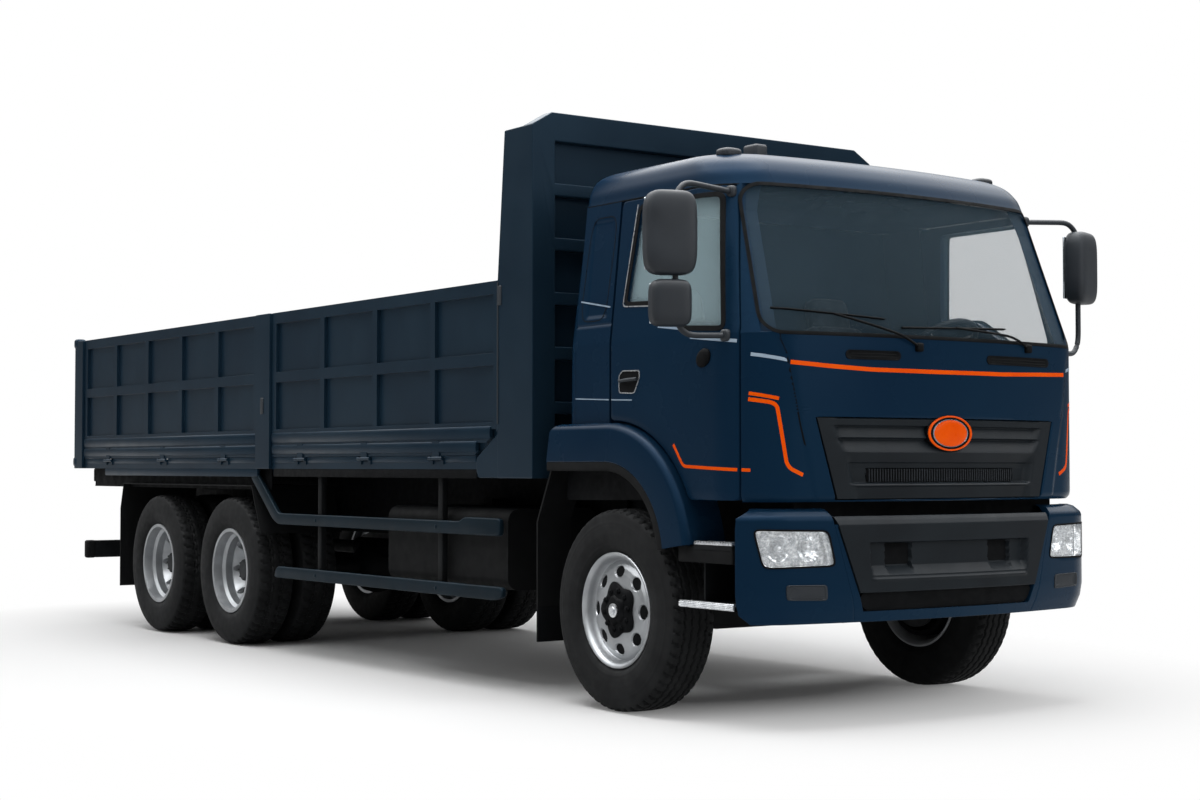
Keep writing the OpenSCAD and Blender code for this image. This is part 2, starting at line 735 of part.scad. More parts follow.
// Grille with swept ribs over a slot of upright fins
grille_out = 6;
rib_z = [1150, 1275, 1345, 1415];
rib_groove = 44;
fin_slot = [540, 1180, 1250];
fins = 24;
module grille() {
    color(dark_grey) difference() {
        intersection() {
            difference() {
                cab_body(-grille_out);
                cab_body(wall - 10);
            }
            run_y(y_front, y_axle - 1000) polygon(grille_shape);
        }
        intersection() {
            difference() {
                cab_body(-2 * grille_out);
                cab_body(18);
            }
            for (z = rib_z) run_y(y_front, y_axle - 1000)
                polygon([[-770, z - rib_groove / 2], [770, z - rib_groove / 2], [740, z + rib_groove / 2 - 12], [-740, z + rib_groove / 2 - 12]]);
        }
        for (i = [0 : fins - 1]) let (w = 2 * fin_slot[0] / fins)
            box([-fin_slot[0] + i * w, y_front, fin_slot[1]], [-fin_slot[0] + (i + 0.6) * w, y_axle - 1000, fin_slot[2]]);
    }
}

// Plain oval plate on the grille
badge_x = 150;
badge_z = [1429, 86];
badge_t = 14;
module badge() {
    color(orange) difference() {
        run_y(y_axle - cab_front_y - grille_out - badge_t, y_axle - cab_front_y + 10) polygon(
            [for (i = [0 : 39]) [badge_x * cos(i * 9), badge_z[0] + badge_z[1] * sin(i * 9)]]);
        cab_body(-grille_out);
    }
}

module windscreen() {
    color("#40515c", 0.5) intersection() {
        difference() {
            cab_body(glass_in);
            cab_body(glass_in + glass_t);
        }
        screen_cut();
    }
}

// Dashboard against the front wall, clear of the doors
dash_x = 1030;
dash_shape = [[-1300, 1500], [-830, 1500], [-770, 1620], [-800, 1790], [-960, 1860], [-1300, 1885]];
module dash_block() {
    intersection() {
        cab_body(wall);
        run_x(-dash_x, dash_x) translate([y_axle, 0]) polygon(dash_shape);
    }
}
module dashboard() { color(dark_grey) dash_block(); }

// Steering wheel on its column, on the left
wheel_r = 215;
seat_x = 540;
module steering_wheel() {
    color(black) difference() {
        translate([seat_x, y_axle - 610, 1900]) rotate([-40, 0, 0]) union() {
            rotate_extrude() translate([wheel_r, 0]) circle(r = 16);
            cylinder(r = 55, h = 40, center = true);
            for (a = [90, 210, 330]) rotate([0, 0, a]) box([0, -18, -8], [wheel_r, 18, 8]);
            translate([0, 0, -320]) cylinder(r = 34, h = 320);
        }
        dash_block();
    }
}

// Two seats on pedestals beside the tunnel
module seats() {
    color(dark_grey) for (s = [-1, 1]) translate([s * seat_x, y_axle, 0]) union() {
        box([s > 0 ? -70 : -220, -330, floor_z], [s > 0 ? 220 : 70, 90, 1440]);
        run_x(-240, 240) polygon([[-400, 1440], [120, 1430], [200, 1500], [330, 2040], [210, 2060], [80, 1590], [-380, 1590], [-420, 1540]]);
        run_x(-140, 140) polygon([[220, 2000], [320, 2000], [345, 2230], [255, 2240]]);
    }
}

// Fixed hinge barrels with a pin through the gap where a board's barrel turns, along Y
pin_r = 5;
barrel_l = 80;
function spread(a, b, n) = [for (i = [0 : n - 1]) a + (b - a) * (i + 0.5) / n];
front_hinges = spread(foot_y, post_y0, 3);
rear_hinges = spread(post_y1, rear_post_y0, 3);
tail_hinges = spread(-deck_x, deck_x, 4);
module fixed_barrels() {
    rod_y([0, -barrel_l, 0], pin_r, 2 * barrel_l);
    for (y = [-barrel_l, barrel_l / 2 + 1]) {
        rod_y([0, y, 0], barrel_r, barrel_l / 2 - 1);
        box([-barrel_r - 12, y, -34], [-4, y + barrel_l / 2 - 1, 0]);
    }
}
module turning_barrel() {
    difference() {
        union() {
            rod_y([0, -barrel_l / 2, 0], barrel_r, barrel_l);
            box([-8, -barrel_l / 2, 0], [2, barrel_l / 2, barrel_r + 90]);
        }
        rod_y([0, -barrel_l, 0], pin_r + run_gap, 2 * barrel_l);
    }
}

// Deck, side and rear rails, bearers and the two long bearers on the frame
deck_t = 46;
bearer_h = 70;
bearer_pitch = 560;
module bed_floor() {
    bearer_z = [deck_z - deck_t - bearer_h, deck_z - deck_t];
    rear_face = hinge_y - barrel_r - 2;
    color(bed_blue) union() {
        box([-deck_x, deck_y0, deck_z - deck_t], [deck_x, tail_y0 - 5, deck_z]);
        both() box([deck_x - 60, foot_y + 2, side_rail_z[0]], [rail_out, rear_face, side_rail_z[1]]);
        box([-deck_x, rear_post_y0, side_rail_z[0]], [deck_x, rear_face, side_rail_z[1]]);
        for (y = [deck_y0 + 60 : bearer_pitch : rear_post_y0 - 100])
            box([-deck_x + 40, y, bearer_z[0]], [deck_x - 40, y + 70, bearer_z[1]]);
        both() box([rail_x - rail_flange, deck_y0 + 20, rail_top], [rail_x, rail_y1, bearer_z[1]]);
        both() for (y = concat(front_hinges, rear_hinges)) translate([hinge_x, y, hinge_z]) fixed_barrels();
        for (x = tail_hinges) translate([x, hinge_y, hinge_z]) rotate([0, 0, 90]) fixed_barrels();
    }
}

// Headboard: framed panel with chamfered top corners, channels across its front, flared side posts
head_foot = deck_z - 120;
chamfer = [130, 76];
head_ribs = 6;
head_rib_h = 70;
module headboard() {
    row_z0 = head_foot + 120;
    row_h = (head_top - 90 - row_z0) / head_ribs;
    color(bed_blue) union() {
        difference() {
            run_y(y_head, deck_y0) polygon([
                [-body_x, head_foot], [body_x, head_foot], [body_x, head_top - chamfer[1]],
                [body_x - chamfer[0], head_top], [-body_x + chamfer[0], head_top], [-body_x, head_top - chamfer[1]]]);
            for (i = [0 : head_ribs - 1])
                box([-body_x + 150, y_head - 1, row_z0 + i * row_h], [body_x - 150, y_head + 62, row_z0 + (i + 1) * row_h - head_rib_h]);
        }
        both() {
            run_x(deck_x, body_x) polygon([
                [deck_y0 - 10, head_foot], [head_post_y, head_foot], [head_post_y, board_top],
                [head_post_y - 70, head_top - chamfer[1]], [deck_y0 - 10, head_top - chamfer[1]]]);
            run_x(deck_x, board_x1) polygon([
                [head_post_y - 10, head_foot], [foot_y - 30, head_foot], [foot_y, head_foot + 40],
                [foot_y, board_bot - 20], [head_post_y, foot_z], [head_post_y - 10, foot_z]]);
        }
    }
}

// Posts between the sideboards and at the rear corners, on the deck's side rails
module bed_posts() {
    color(bed_blue) both() for (y = [[post_y0, post_y1], [rear_post_y0, hinge_y - barrel_r - 2]])
        run_y(y[0], y[1]) polygon([
            [rail_out, side_rail_z[0]], [body_x, side_rail_z[0]], [body_x, board_top],
            [board_x0, board_top], [board_x0, side_rail_z[1]], [rail_out, side_rail_z[1]]]);
}

// Doors
module door(right) {
    color(paint_blue) side(right) difference() {
        union() {
            difference() {
                intersection() {
                    cab_shell();
                    union() {
                        door_cut(door_gap, door_rear_gap);
                        door_edge(0, 1);
                    }
                }
                window_cut();
                door_barrel_space();
            }
            for (z = door_hinges) translate([door_hinge_x, door_hinge_y, z - hinge_h / 2 + 1]) {
                cylinder(r = hinge_r, h = hinge_h - 2);
                box([-40, 3, 0], [2, 50, hinge_h - 2]);
            }
        }
        translate([door_hinge_x, door_hinge_y, 0]) cylinder(r = door_pin_r + run_gap, h = header_z);
    }
}
module door_right() { door(true); }
module door_left() { door(false); }

module door_glass(right) {
    color("#40515c", 0.5) side(right) intersection() {
        difference() {
            cab_body(glass_in);
            cab_body(glass_in + glass_t);
        }
        window_cut();
    }
}
module door_glass_right() { door_glass(true); }
module door_glass_left() { door_glass(false); }

// Large and small mirror heads on tube arms from the door's frame
mirror_x = 1455;
mirror_y = -790;
arm_r = 13;
// A head: bottom, top, half width, depth
mirror_heads = [[2175, 2580, 118, 125], [1925, 2150, 96, 115]];
module door_mirror(right) {
    tube = [mirror_x - 30, y_axle + mirror_y - 20];
    color(dark_grey) side(right) difference() {
        union() {
            for (h = right ? mirror_heads : [mirror_heads[0]])
                translate([mirror_x, y_axle + mirror_y, h[0]]) linear_extrude(h[1] - h[0]) polygon(concat(
                [[h[2], 45], [-h[2], 45]],
                arc([-h[2] + 45, 0], 45, 180, 240, 4), [[0, 45 - h[3]]], arc([h[2] - 45, 0], 45, 300, 360, 4)));
            translate([tube[0], tube[1], 1890]) cylinder(r = arm_r, h = 725);
            for (arm = [[-762, 2615], [-880, 1890]]) hull() {
                translate([tube[0], tube[1], arm[1]]) sphere(r = arm_r, $fn = 16);
                translate([cab_top_x - 60, y_axle + arm[0], arm[1]]) sphere(r = arm_r, $fn = 16);
            }
        }
        cab_body(0);
    }
}
module mirror_right() { door_mirror(true); }
module mirror_left() { door_mirror(false); }

// A sideboard: framed panels in two rows over two pressed grooves, on its hinges
row_low = [board_bot + 185, 1830];
row_top = [1900, board_top - 75];
panel_depth = 24;
stile = 60;
grooves = [board_bot + 25, board_bot + 100];
groove_h = 45;
module panels(l, cols, x0, x1) {
    w = (l - stile) / cols;
    for (i = [0 : cols - 1], row = [row_low, row_top])
        box([x0, stile + i * w, row[0]], [x1, (i + 1) * w, row[1]]);
    for (z = grooves) box([x0, stile / 2, z], [x1, l - stile / 2, z + groove_h]);
}
module board(y0, y1, cols, hinges, cut) {
    color(bed_blue) union() {
        difference() {
            box([board_x0, y0, board_bot], [board_x1, y1, board_top]);
            translate([0, y0, 0]) panels(y1 - y0, cols, board_x1 - panel_depth, board_x1 + 1);
            if (cut) run_x(board_x0 - 1, board_x1 + 1) polygon([
                [y0 - 1, board_bot - 1], [foot_y + 20, board_bot - 1], [y0 + 1, foot_z + 16], [y0 - 1, foot_z + 16]]);
        }
        for (y = hinges) translate([hinge_x, y, hinge_z]) turning_barrel();
    }
}
module board_front() { board(head_post_y + board_gap, post_y0 - board_gap, 4, front_hinges, true); }
module board_rear() { board(post_y1 + board_gap, rear_post_y0 - board_gap, 5, rear_hinges, false); }
module board_front_right() { side(true) board_front(); }
module board_front_left() { board_front(); }
module board_rear_right() { side(true) board_rear(); }
module board_rear_left() { board_rear(); }

module tailgate() {
    half = board_x0 - board_gap;
    color(bed_blue) union() {
        difference() {
            box([-half, tail_y0, board_bot], [half, tail_y1, board_top]);
            translate([half, 0, 0]) rotate([0, 0, 90]) panels(2 * half, 4, tail_y1 - panel_depth, tail_y1 + 1);
        }
        for (x = tail_hinges) translate([x, hinge_y, hinge_z]) rotate([0, 0, 90]) turning_barrel();
    }
}

// Steering knuckle: kingpin and its two lugs, brake plate, spindle, track arm
lug_t = 34;
lug_gap = 1;
plate_x = tyre_x - tyre_w / 2 + 6;
plate_t = 14;
arm_z = axle_z - eye_h / 2 - lug_gap - lug_t;
stud_r = 10;
rod_end_r = 28;
rod_end_h = 28;
module knuckle(right) {
    lugs = [arm_z, axle_z + eye_h / 2 + lug_gap];
    color(dark_grey) side(right) translate([king_x, y_axle, 0]) union() {
        translate([0, 0, arm_z]) cylinder(r = kingpin_r, h = lugs[1] + lug_t - arm_z);
        for (z = lugs) {
            translate([0, 0, z]) cylinder(r = eye_r - 2, h = lug_t);
            box([0, -50, z], [plate_x - king_x + plate_t, 50, z + lug_t]);
        }
        rod_x([plate_x - king_x, 0, axle_z], 185, plate_t);
        rod_x([plate_x - king_x, 0, axle_z], spindle_r, tyre_x + 50 - plate_x);
        box([-20, 0, arm_z], [20, track_arm, arm_z + 28]);
        translate([0, track_arm, arm_z]) cylinder(r = rod_end_r - 4, h = 28);
        translate([0, track_arm, arm_z - rod_end_h - 6]) cylinder(r = stud_r, h = rod_end_h + 20);
    }
}
module knuckle_right() { knuckle(true); }
module knuckle_left() { knuckle(false); }

// Tie rod between the two track arms
module tie_rod() {
    z = arm_z - 1 - rod_end_h;
    color(dark_grey) translate([0, y_axle + track_arm, 0]) difference() {
        union() {
            both() translate([king_x, 0, z]) cylinder(r = rod_end_r, h = rod_end_h);
            rod_x([-king_x, 0, z + rod_end_h / 2], 13, 2 * king_x);
        }
        both() translate([king_x, 0, z - 1]) cylinder(r = stud_r + run_gap, h = rod_end_h + 2);
    }
}

// Tyre about the axle line: beads, bulged sides, round shoulders and a crowned tread
bead_r = rim_d / 2 - 12;
function reversed(p) = [for (i = [len(p) - 1 : -1 : 0]) p[i]];
function flipped(p) = [for (q = p) [q[0], -q[1]]];
module turn(z, n = 96) { translate([0, 0, z]) rotate_extrude($fn = n) children(); }
module tyre(z) {
    r = tyre_d / 2;
    w = tyre_w / 2;
    lip = rim_w / 2 - 12 - seam;
    half = concat(
        [[bead_r + seam, lip], [rim_d / 2 + 2, lip], [rim_d / 2 + 20, w - 16], [rim_d / 2 + 60, w - 4],
            [rim_d / 2 + 95, w], [rim_d / 2 + 135, w - 3]],
        arc([r - 42, w - 52], 40, 75, 15, 4),
        [[r - 1, w - 75], [r, w - 110]]);
    turn(z) polygon(concat(half, flipped(reversed(half))));
}

// Rim barrel with flanges, bead seats and a drop centre
module barrel(z) {
    r = rim_d / 2;
    w = rim_w / 2;
    outer = [[r, w], [r, w - 10], [bead_r, w - 12], [bead_r - 2, w - 64], [bead_r - 24, w - 79]];
    inner = [[r - 22, w], [bead_r - 12, w - 14], [bead_r - 14, w - 66], [bead_r - 36, w - 83]];
    turn(z) polygon(concat(outer, flipped(reversed(outer)), flipped(inner), reversed(inner)));
}

// A wheel disc from the barrel to the hub, with a ring of hand holes
disc_r = bead_r - 30;
disc_t = 15;
hole_at = 216;
hole_r = 25;
module disc(z0, z1) {
    s = sign(z1 - z0);
    difference() {
        turn(0) polygon([
            [disc_r, z0], [disc_r, z0 + s * disc_t], [182, z1], [60, z1], [60, z1 - s * disc_t],
            [172, z1 - s * disc_t], [disc_r - 14, z0]]);
        for (i = [0 : hand_holes - 1]) rotate([0, 0, i * 360 / hand_holes])
            translate([hole_at, 0, min(z0, z1) - 20]) cylinder(r = hole_r, h = abs(z1 - z0) + 40);
    }
}

// Brake drum open to the inside
drum_r = 205;
module drum(z0, z1) {
    turn(0) polygon([[60, z1], [drum_r, z1], [drum_r, z0], [drum_r - 15, z0], [drum_r - 15, z1 - 14], [60, z1 - 14]]);
}

module wheel_at(right, y) { side(right) translate([tyre_x, y, axle_z]) rotate([0, 90, 0]) children(); }
module spindle_bore(z) { translate([0, 0, -2 * twin]) cylinder(r = spindle_r + run_gap, h = z + 2 * twin); }

// Front wheel: disc near the outside, hub and cap
module front_rim(right) {
    color(steel) wheel_at(right, y_axle) difference() {
        union() {
            barrel(0);
            disc(12, 100);
            drum(-112, 0);
            translate([0, 0, -60]) cylinder(r = 76, h = 170);
            translate([0, 0, 80]) cylinder(r = 92, h = 55);
            translate([0, 0, 130]) cylinder(r1 = 66, r2 = 54, h = 36);
        }
        spindle_bore(51);
    }
}
module front_rim_right() { front_rim(true); }
module front_rim_left() { front_rim(false); }
module front_tyre(right) { color(black) wheel_at(right, y_axle) tyre(0); }
module front_tyre_right() { front_tyre(true); }
module front_tyre_left() { front_tyre(false); }

// Twin rear wheels: deep discs that meet between the tyres, hub and drum
module rear_rims(right, y) {
    color(steel) wheel_at(right, y) difference() {
        union() {
            barrel(0);
            barrel(-twin);
            disc(-12, -twin / 2);
            disc(12 - twin, -twin / 2);
            drum(-twin - 100, -twin + 135);
            translate([0, 0, -twin + 35]) cylinder(r = 105, h = twin - 105);
            translate([0, 0, -80]) cylinder(r = 72, h = 95);
        }
        spindle_bore(1 - hub_in);
    }
}
module rear_tyres(right, y) {
    color(black) wheel_at(right, y) {
        tyre(0);
        tyre(-twin);
    }
}
module rear_rims_1_right() { rear_rims(true, y_r1); }
module rear_rims_1_left() { rear_rims(false, y_r1); }
module rear_rims_2_right() { rear_rims(true, y_r2); }
module rear_rims_2_left() { rear_rims(false, y_r2); }
module rear_tyres_1_right() { rear_tyres(true, y_r1); }
module rear_tyres_1_left() { rear_tyres(false, y_r1); }
module rear_tyres_2_right() { rear_tyres(true, y_r2); }
module rear_tyres_2_left() { rear_tyres(false, y_r2); }

frame_rails();
crossmembers();
front_axle();
leaf_springs();
rear_axles();
propshaft();
engine();
side_tanks();
side_guards();
front_bumper();
bumper_insert();
front_lamps();
cab_steps();
front_mudguards();
rear_mudguards();
rear_underrun();
tail_lamps();
cab_floor();
cab_back();
cab_side_right();
cab_side_left();
cab_roof();
cab_front();
grille();
badge();
windscreen();
dashboard();
steering_wheel();
seats();
bed_floor();
headboard();
bed_posts();
door_right();
door_left();
door_glass_right();
door_glass_left();
mirror_right();
mirror_left();
board_front_right();
board_front_left();
board_rear_right();
board_rear_left();
tailgate();
knuckle_right();
knuckle_left();
tie_rod();
front_tyre_right();
front_tyre_left();
front_rim_right();
front_rim_left();
rear_tyres_1_right();
rear_tyres_1_left();
rear_rims_1_right();
rear_rims_1_left();
rear_tyres_2_right();
rear_tyres_2_left();
rear_rims_2_right();
rear_rims_2_left();
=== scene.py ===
import json
from math import radians

import bmesh
import bpy
import numpy as np
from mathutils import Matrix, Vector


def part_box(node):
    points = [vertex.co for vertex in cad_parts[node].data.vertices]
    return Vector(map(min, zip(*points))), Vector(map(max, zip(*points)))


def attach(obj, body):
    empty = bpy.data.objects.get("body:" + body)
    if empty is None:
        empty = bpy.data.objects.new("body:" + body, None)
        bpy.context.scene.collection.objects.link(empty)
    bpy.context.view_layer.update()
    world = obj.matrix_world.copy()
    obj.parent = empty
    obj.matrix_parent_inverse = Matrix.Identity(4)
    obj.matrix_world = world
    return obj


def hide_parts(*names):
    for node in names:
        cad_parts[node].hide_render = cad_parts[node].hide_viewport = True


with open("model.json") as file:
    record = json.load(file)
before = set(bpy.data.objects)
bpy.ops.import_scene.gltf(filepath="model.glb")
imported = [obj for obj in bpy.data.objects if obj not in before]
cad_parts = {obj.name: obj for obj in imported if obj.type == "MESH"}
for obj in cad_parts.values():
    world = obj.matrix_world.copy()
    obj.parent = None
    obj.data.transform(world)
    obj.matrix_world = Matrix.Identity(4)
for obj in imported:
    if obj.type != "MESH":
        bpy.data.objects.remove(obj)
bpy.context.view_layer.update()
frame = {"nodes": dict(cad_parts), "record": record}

nodes = frame["nodes"]
scene = bpy.context.scene
scene.view_settings.view_transform = "Standard"
# y of the front and rear axles, their height, side distance of the outer tyres, step to the inner ones
yAxle, yRear1, yRear2, axleZ, tyreX, twin = -3.225, 1.475, 2.775, 0.522, 1.07, 0.335
print("frame:", len(nodes), "nodes")


# sRGB text to linear colour
def tone(text):
    c = np.array([int(text[i:i + 2], 16) / 255 for i in (1, 3, 5)])
    c = np.where(c <= 0.04045, c / 12.92, ((c + 0.055) / 1.055) ** 2.4)
    return (*c, 1.0)


# soft noise over coordinates, finer as scale grows
def linkNoise(tree, coords, scale, detail=4.0):
    noise = tree.nodes.new("ShaderNodeTexNoise")
    noise.inputs["Scale"].default_value = scale
    noise.inputs["Detail"].default_value = detail
    tree.links.new(coords, noise.inputs["Vector"])
    return noise.outputs["Fac"]


# a value between two limits, spread evenly from low to high
def linkRange(tree, value, low, high, fromLow=0.3, fromHigh=0.7):
    span = tree.nodes.new("ShaderNodeMapRange")
    span.inputs["From Min"].default_value = fromLow
    span.inputs["From Max"].default_value = fromHigh
    span.inputs["To Min"].default_value = low
    span.inputs["To Max"].default_value = high
    tree.links.new(value, span.inputs["Value"])
    return span.outputs["Result"]


# a value turned to a colour between stops
def linkRamp(tree, value, stops):
    ramp = tree.nodes.new("ShaderNodeValToRGB")
    parts = ramp.color_ramp.elements
    while len(parts) < len(stops):
        parts.new(0.5)
    for part, (place, colour) in zip(parts, stops):
        part.position = place
        part.color = colour
    tree.links.new(value, ramp.inputs["Fac"])
    return ramp.outputs["Color"]


# colour and roughness drift with soft noise on Object coordinates, and a fine grain goes to the bump
def finish(name, look):
    mat = bpy.data.materials.new(name)
    mat.use_nodes = True
    tree = mat.node_tree
    shader = tree.nodes["Principled BSDF"]
    coords = tree.nodes.new("ShaderNodeTexCoord").outputs["Object"]
    drift = linkNoise(tree, coords, look["drift"])
    stops = [(0.36, tone(look["colour"])), (0.66, tone(look["tint"]))]
    tree.links.new(linkRamp(tree, drift, stops), shader.inputs["Base Color"])
    low, high = look["rough"]
    patch = linkNoise(tree, coords, look["drift"] * 3.1, 6.0)
    tree.links.new(linkRange(tree, patch, low, high), shader.inputs["Roughness"])
    shader.inputs["Metallic"].default_value = look.get("metal", 0.0)
    shader.inputs["Specular IOR Level"].default_value = look.get("specular", 0.22)
    shader.inputs["Specular Tint"].default_value = tone(look.get("gloss", "#ffffff"))
    shader.inputs["Coat Weight"].default_value = look.get("coat", 0.0)
    shader.inputs["Coat Roughness"].default_value = look.get("coatRough", 0.04)
    shader.inputs["Alpha"].default_value = look.get("alpha", 1.0)
    shader.inputs["Sheen Weight"].default_value = look.get("sheen", 0.0)
    if "grain" in look:
        size, depth = look["grain"]
        bump = tree.nodes.new("ShaderNodeBump")
        bump.inputs["Strength"].default_value = 0.5
        bump.inputs["Distance"].default_value = depth
        tree.links.new(linkNoise(tree, coords, size, 3.0), bump.inputs["Height"])
        tree.links.new(bump.outputs["Normal"], shader.inputs["Normal"])
    return mat


looks = {
    "cab_paint": dict(colour="#0b2034", tint="#0e2639", drift=0.7, rough=(0.24, 0.3), specular=0.07,
                      gloss="#9ecbff", grain=(900, 0.00003)),
    "bed_paint": dict(colour="#101f2b", tint="#152531", drift=1.6, rough=(0.32, 0.4), specular=0.12,
                      gloss="#b4d4f4", grain=(420, 0.00012)),
    "chassis_black": dict(colour="#0a0b0c", tint="#101214", drift=4.0, rough=(0.5, 0.65), specular=0.08,
                          grain=(260, 0.0002)),
    "guard_grey": dict(colour="#0e1920", tint="#121e26", drift=2.2, rough=(0.38, 0.48), specular=0.07,
                       gloss="#c4dcf2", grain=(420, 0.0001)),
    "cast_steel": dict(colour="#1b1d1f", tint="#2a2c2e", drift=6.0, rough=(0.5, 0.7), metal=0.35,
                       grain=(180, 0.0005)),
    "dark_plastic": dict(colour="#1b1f24", tint="#22272c", drift=3.0, rough=(0.42, 0.55),
                         grain=(750, 0.00012)),
    "grille_grey": dict(colour="#14181c", tint="#191e22", drift=3.0, rough=(0.4, 0.5), specular=0.08,
                        grain=(750, 0.00012)),
    "rubber_black": dict(colour="#090a0b", tint="#0f1011", drift=5.0, rough=(0.6, 0.75), specular=0.08,
                         grain=(320, 0.0003)),
    "tyre": dict(colour="#101112", tint="#18191a", drift=7.0, rough=(0.62, 0.8), specular=0.1,
                 grain=(300, 0.0004)),
    "wheel_silver": dict(colour="#8d9093", tint="#a1a4a7", drift=6.0, rough=(0.3, 0.44), metal=0.55,
                         grain=(500, 0.00008)),
    "lamp_red": dict(colour="#4a0d0b", tint="#5c1411", drift=9.0, rough=(0.2, 0.3), coat=0.1,
                     grain=(90, 0.0004)),
    "badge_orange": dict(colour="#e04a00", tint="#e85500", drift=8.0, rough=(0.25, 0.34), specular=0.06,
                         grain=(700, 0.00005)),
    "seat_fabric": dict(colour="#23282d", tint="#33393f", drift=14.0, rough=(0.8, 0.92), sheen=0.3,
                        grain=(620, 0.0006)),
    # the glass colours stand in for painted reflection: grey-blue on the windscreen and near white on the
    # door windows, while their real gloss is low
    "glass": dict(colour="#4a5d69", tint="#536773", drift=0.6, rough=(0.18, 0.24), alpha=0.18,
                  specular=0.03),
    "door_glass": dict(colour="#d0eff7", tint="#daf6fd", drift=0.6, rough=(0.12, 0.18), alpha=0.18,
                       specular=0.06),
    "lamp_clear": dict(colour="#dfe5ea", tint="#f2f6f8", drift=30.0, rough=(0.04, 0.1), alpha=0.22,
                       specular=0.8, grain=(60, 0.002)),
    "cabin_trim": dict(colour="#3a4248", tint="#444c52", drift=2.0, rough=(0.6, 0.75), grain=(500, 0.0003)),
    "stripe_orange": dict(colour="#e04a00", tint="#e85500", drift=5.0, rough=(0.3, 0.4), specular=0.05,
                          grain=(600, 0.00004)),
    "stripe_pale": dict(colour="#8496a8", tint="#97a8b8", drift=5.0, rough=(0.3, 0.4), coat=0.3,
                        grain=(600, 0.00004)),
    "seam_black": dict(colour="#040506", tint="#07080a", drift=8.0, rough=(0.6, 0.8), specular=0.06,
                       grain=(300, 0.0001)),
    "bright_steel": dict(colour="#b9bcc0", tint="#d5d8da", drift=20.0, rough=(0.24, 0.34), metal=0.9,
                         grain=(300, 0.00002)),
    "reflector": dict(colour="#7b8085", tint="#f4f6f7", drift=70.0, rough=(0.08, 0.2), metal=0.95,
                      grain=(45, 0.004)),
    "mirror_glass": dict(colour="#9fa7ad", tint="#adb5bb", drift=2.0, rough=(0.02, 0.05), metal=0.95,
                         grain=(8, 0.00003)),
    "lamp_amber": dict(colour="#8a4a10", tint="#a55d18", drift=12.0, rough=(0.15, 0.25), coat=0.4,
                       grain=(80, 0.0005)),
}
mats = {name: finish(name, look) for name, look in looks.items()}
print("finishes:", len(mats))


# weld a node's loose triangles, shade smooth and keep edges sharper than an angle
def smoothGroup(angle):
    group = bpy.data.node_groups.new("smoothByAngle", "GeometryNodeTree")
    group.interface.new_socket("Geometry", in_out="INPUT", socket_type="NodeSocketGeometry")
    group.interface.new_socket("Geometry", in_out="OUTPUT", socket_type="NodeSocketGeometry")
    start = group.nodes.new("NodeGroupInput")
    weld = group.nodes.new("GeometryNodeMergeByDistance")
    weld.inputs["Distance"].default_value = 0.00005
    bend = group.nodes.new("GeometryNodeInputMeshEdgeAngle")
    sharp = group.nodes.new("FunctionNodeCompare")
    sharp.operation = "GREATER_THAN"
    sharp.inputs[1].default_value = radians(angle)
    soft = group.nodes.new("GeometryNodeSetShadeSmooth")
    hard = group.nodes.new("GeometryNodeSetShadeSmooth")
    hard.domain = "EDGE"
    hard.inputs["Shade Smooth"].default_value = False
    end = group.nodes.new("NodeGroupOutput")
    links = group.links
    links.new(start.outputs[0], weld.inputs["Geometry"])
    links.new(weld.outputs[0], soft.inputs["Geometry"])
    links.new(soft.outputs[0], hard.inputs["Geometry"])
    links.new(bend.outputs["Unsigned Angle"], sharp.inputs[0])
    links.new(sharp.outputs[0], hard.inputs["Selection"])
    links.new(hard.outputs[0], end.inputs[0])
    return group


smooth = smoothGroup(32)
bevels = {  # node to width of its softened edges
    "headboard": 0.008, "bed_posts": 0.006, "bed_floor": 0.003, "board_front_right": 0.006,
    "board_front_left": 0.006,
    "board_rear_right": 0.006, "board_rear_left": 0.006, "tailgate": 0.006, "cab_steps": 0.004,
    "rear_underrun": 0.006, "frame_rails": 0.003, "dashboard": 0.012, "side_tanks": 0.008, "engine": 0.01,
}
slotOf = {part["node"]: part["material_slot"] for part in frame["record"]["subparts"]}
for name, node in nodes.items():
    node.data.materials.clear()
    node.data.materials.append(mats[slotOf[name]])
    if name in bevels:
        weld = node.modifiers.new("weld", "WELD")
        weld.merge_threshold = 0.00005
        edge = node.modifiers.new("edges", "BEVEL")
        edge.width = bevels[name]
        edge.segments = 2
        edge.limit_method = "ANGLE"
        edge.angle_limit = radians(40)
        edge.harden_normals = False
    node.modifiers.new("smooth", "NODES").node_group = smooth
    if name in bevels:
        node.modifiers.new("normals", "WEIGHTED_NORMAL").keep_sharp = True
# made black: on the cab floor the black stands in for the painted shade under the cab
for name in ("cab_floor", "crossmembers", "side_tanks"):
    nodes[name].data.materials[0] = mats["rubber_black"]
print("carried nodes finished")


# coordinates joined to points
def join(*parts):
    return np.stack(np.broadcast_arrays(*parts), -1)


# n even angles round a circle
def circle(n):
    return np.linspace(0, 2 * np.pi, n, endpoint=False)


# faces of a grid of rows by cols points numbered row by row
def quads(rows, cols, wrapRows=False, wrapCols=False):
    r, c = np.meshgrid(np.arange(rows if wrapRows else rows - 1), np.arange(cols if wrapCols else cols - 1),
                       indexing="ij")
    rn, cn = (r + 1) % rows, (c + 1) % cols
    return join(r * cols + c, r * cols + cn, rn * cols + cn, rn * cols + c).reshape(-1, 4)


# a grid of points (rows, cols, 3) as one surface, its ends closed by flat faces where asked
def sheetOf(points, wrapRows=False, wrapCols=False, caps=False):
    rows, cols = points.shape[:2]
    faces = [quads(rows, cols, wrapRows, wrapCols)]
    if caps:
        faces.append(np.arange(cols)[::-1][None])
        faces.append((np.arange(cols) + (rows - 1) * cols)[None])
    return points.reshape(-1, 3), faces


# a thin closed slab between two grids of points
def slab(front, back):
    return sheetOf(np.concatenate([front, back[:, ::-1]], 1), False, True, True)


# several copies of one surface, each moved by an offset
def copies(surface, offsets):
    return [(surface[0] + np.asarray(o), surface[1]) for o in offsets]


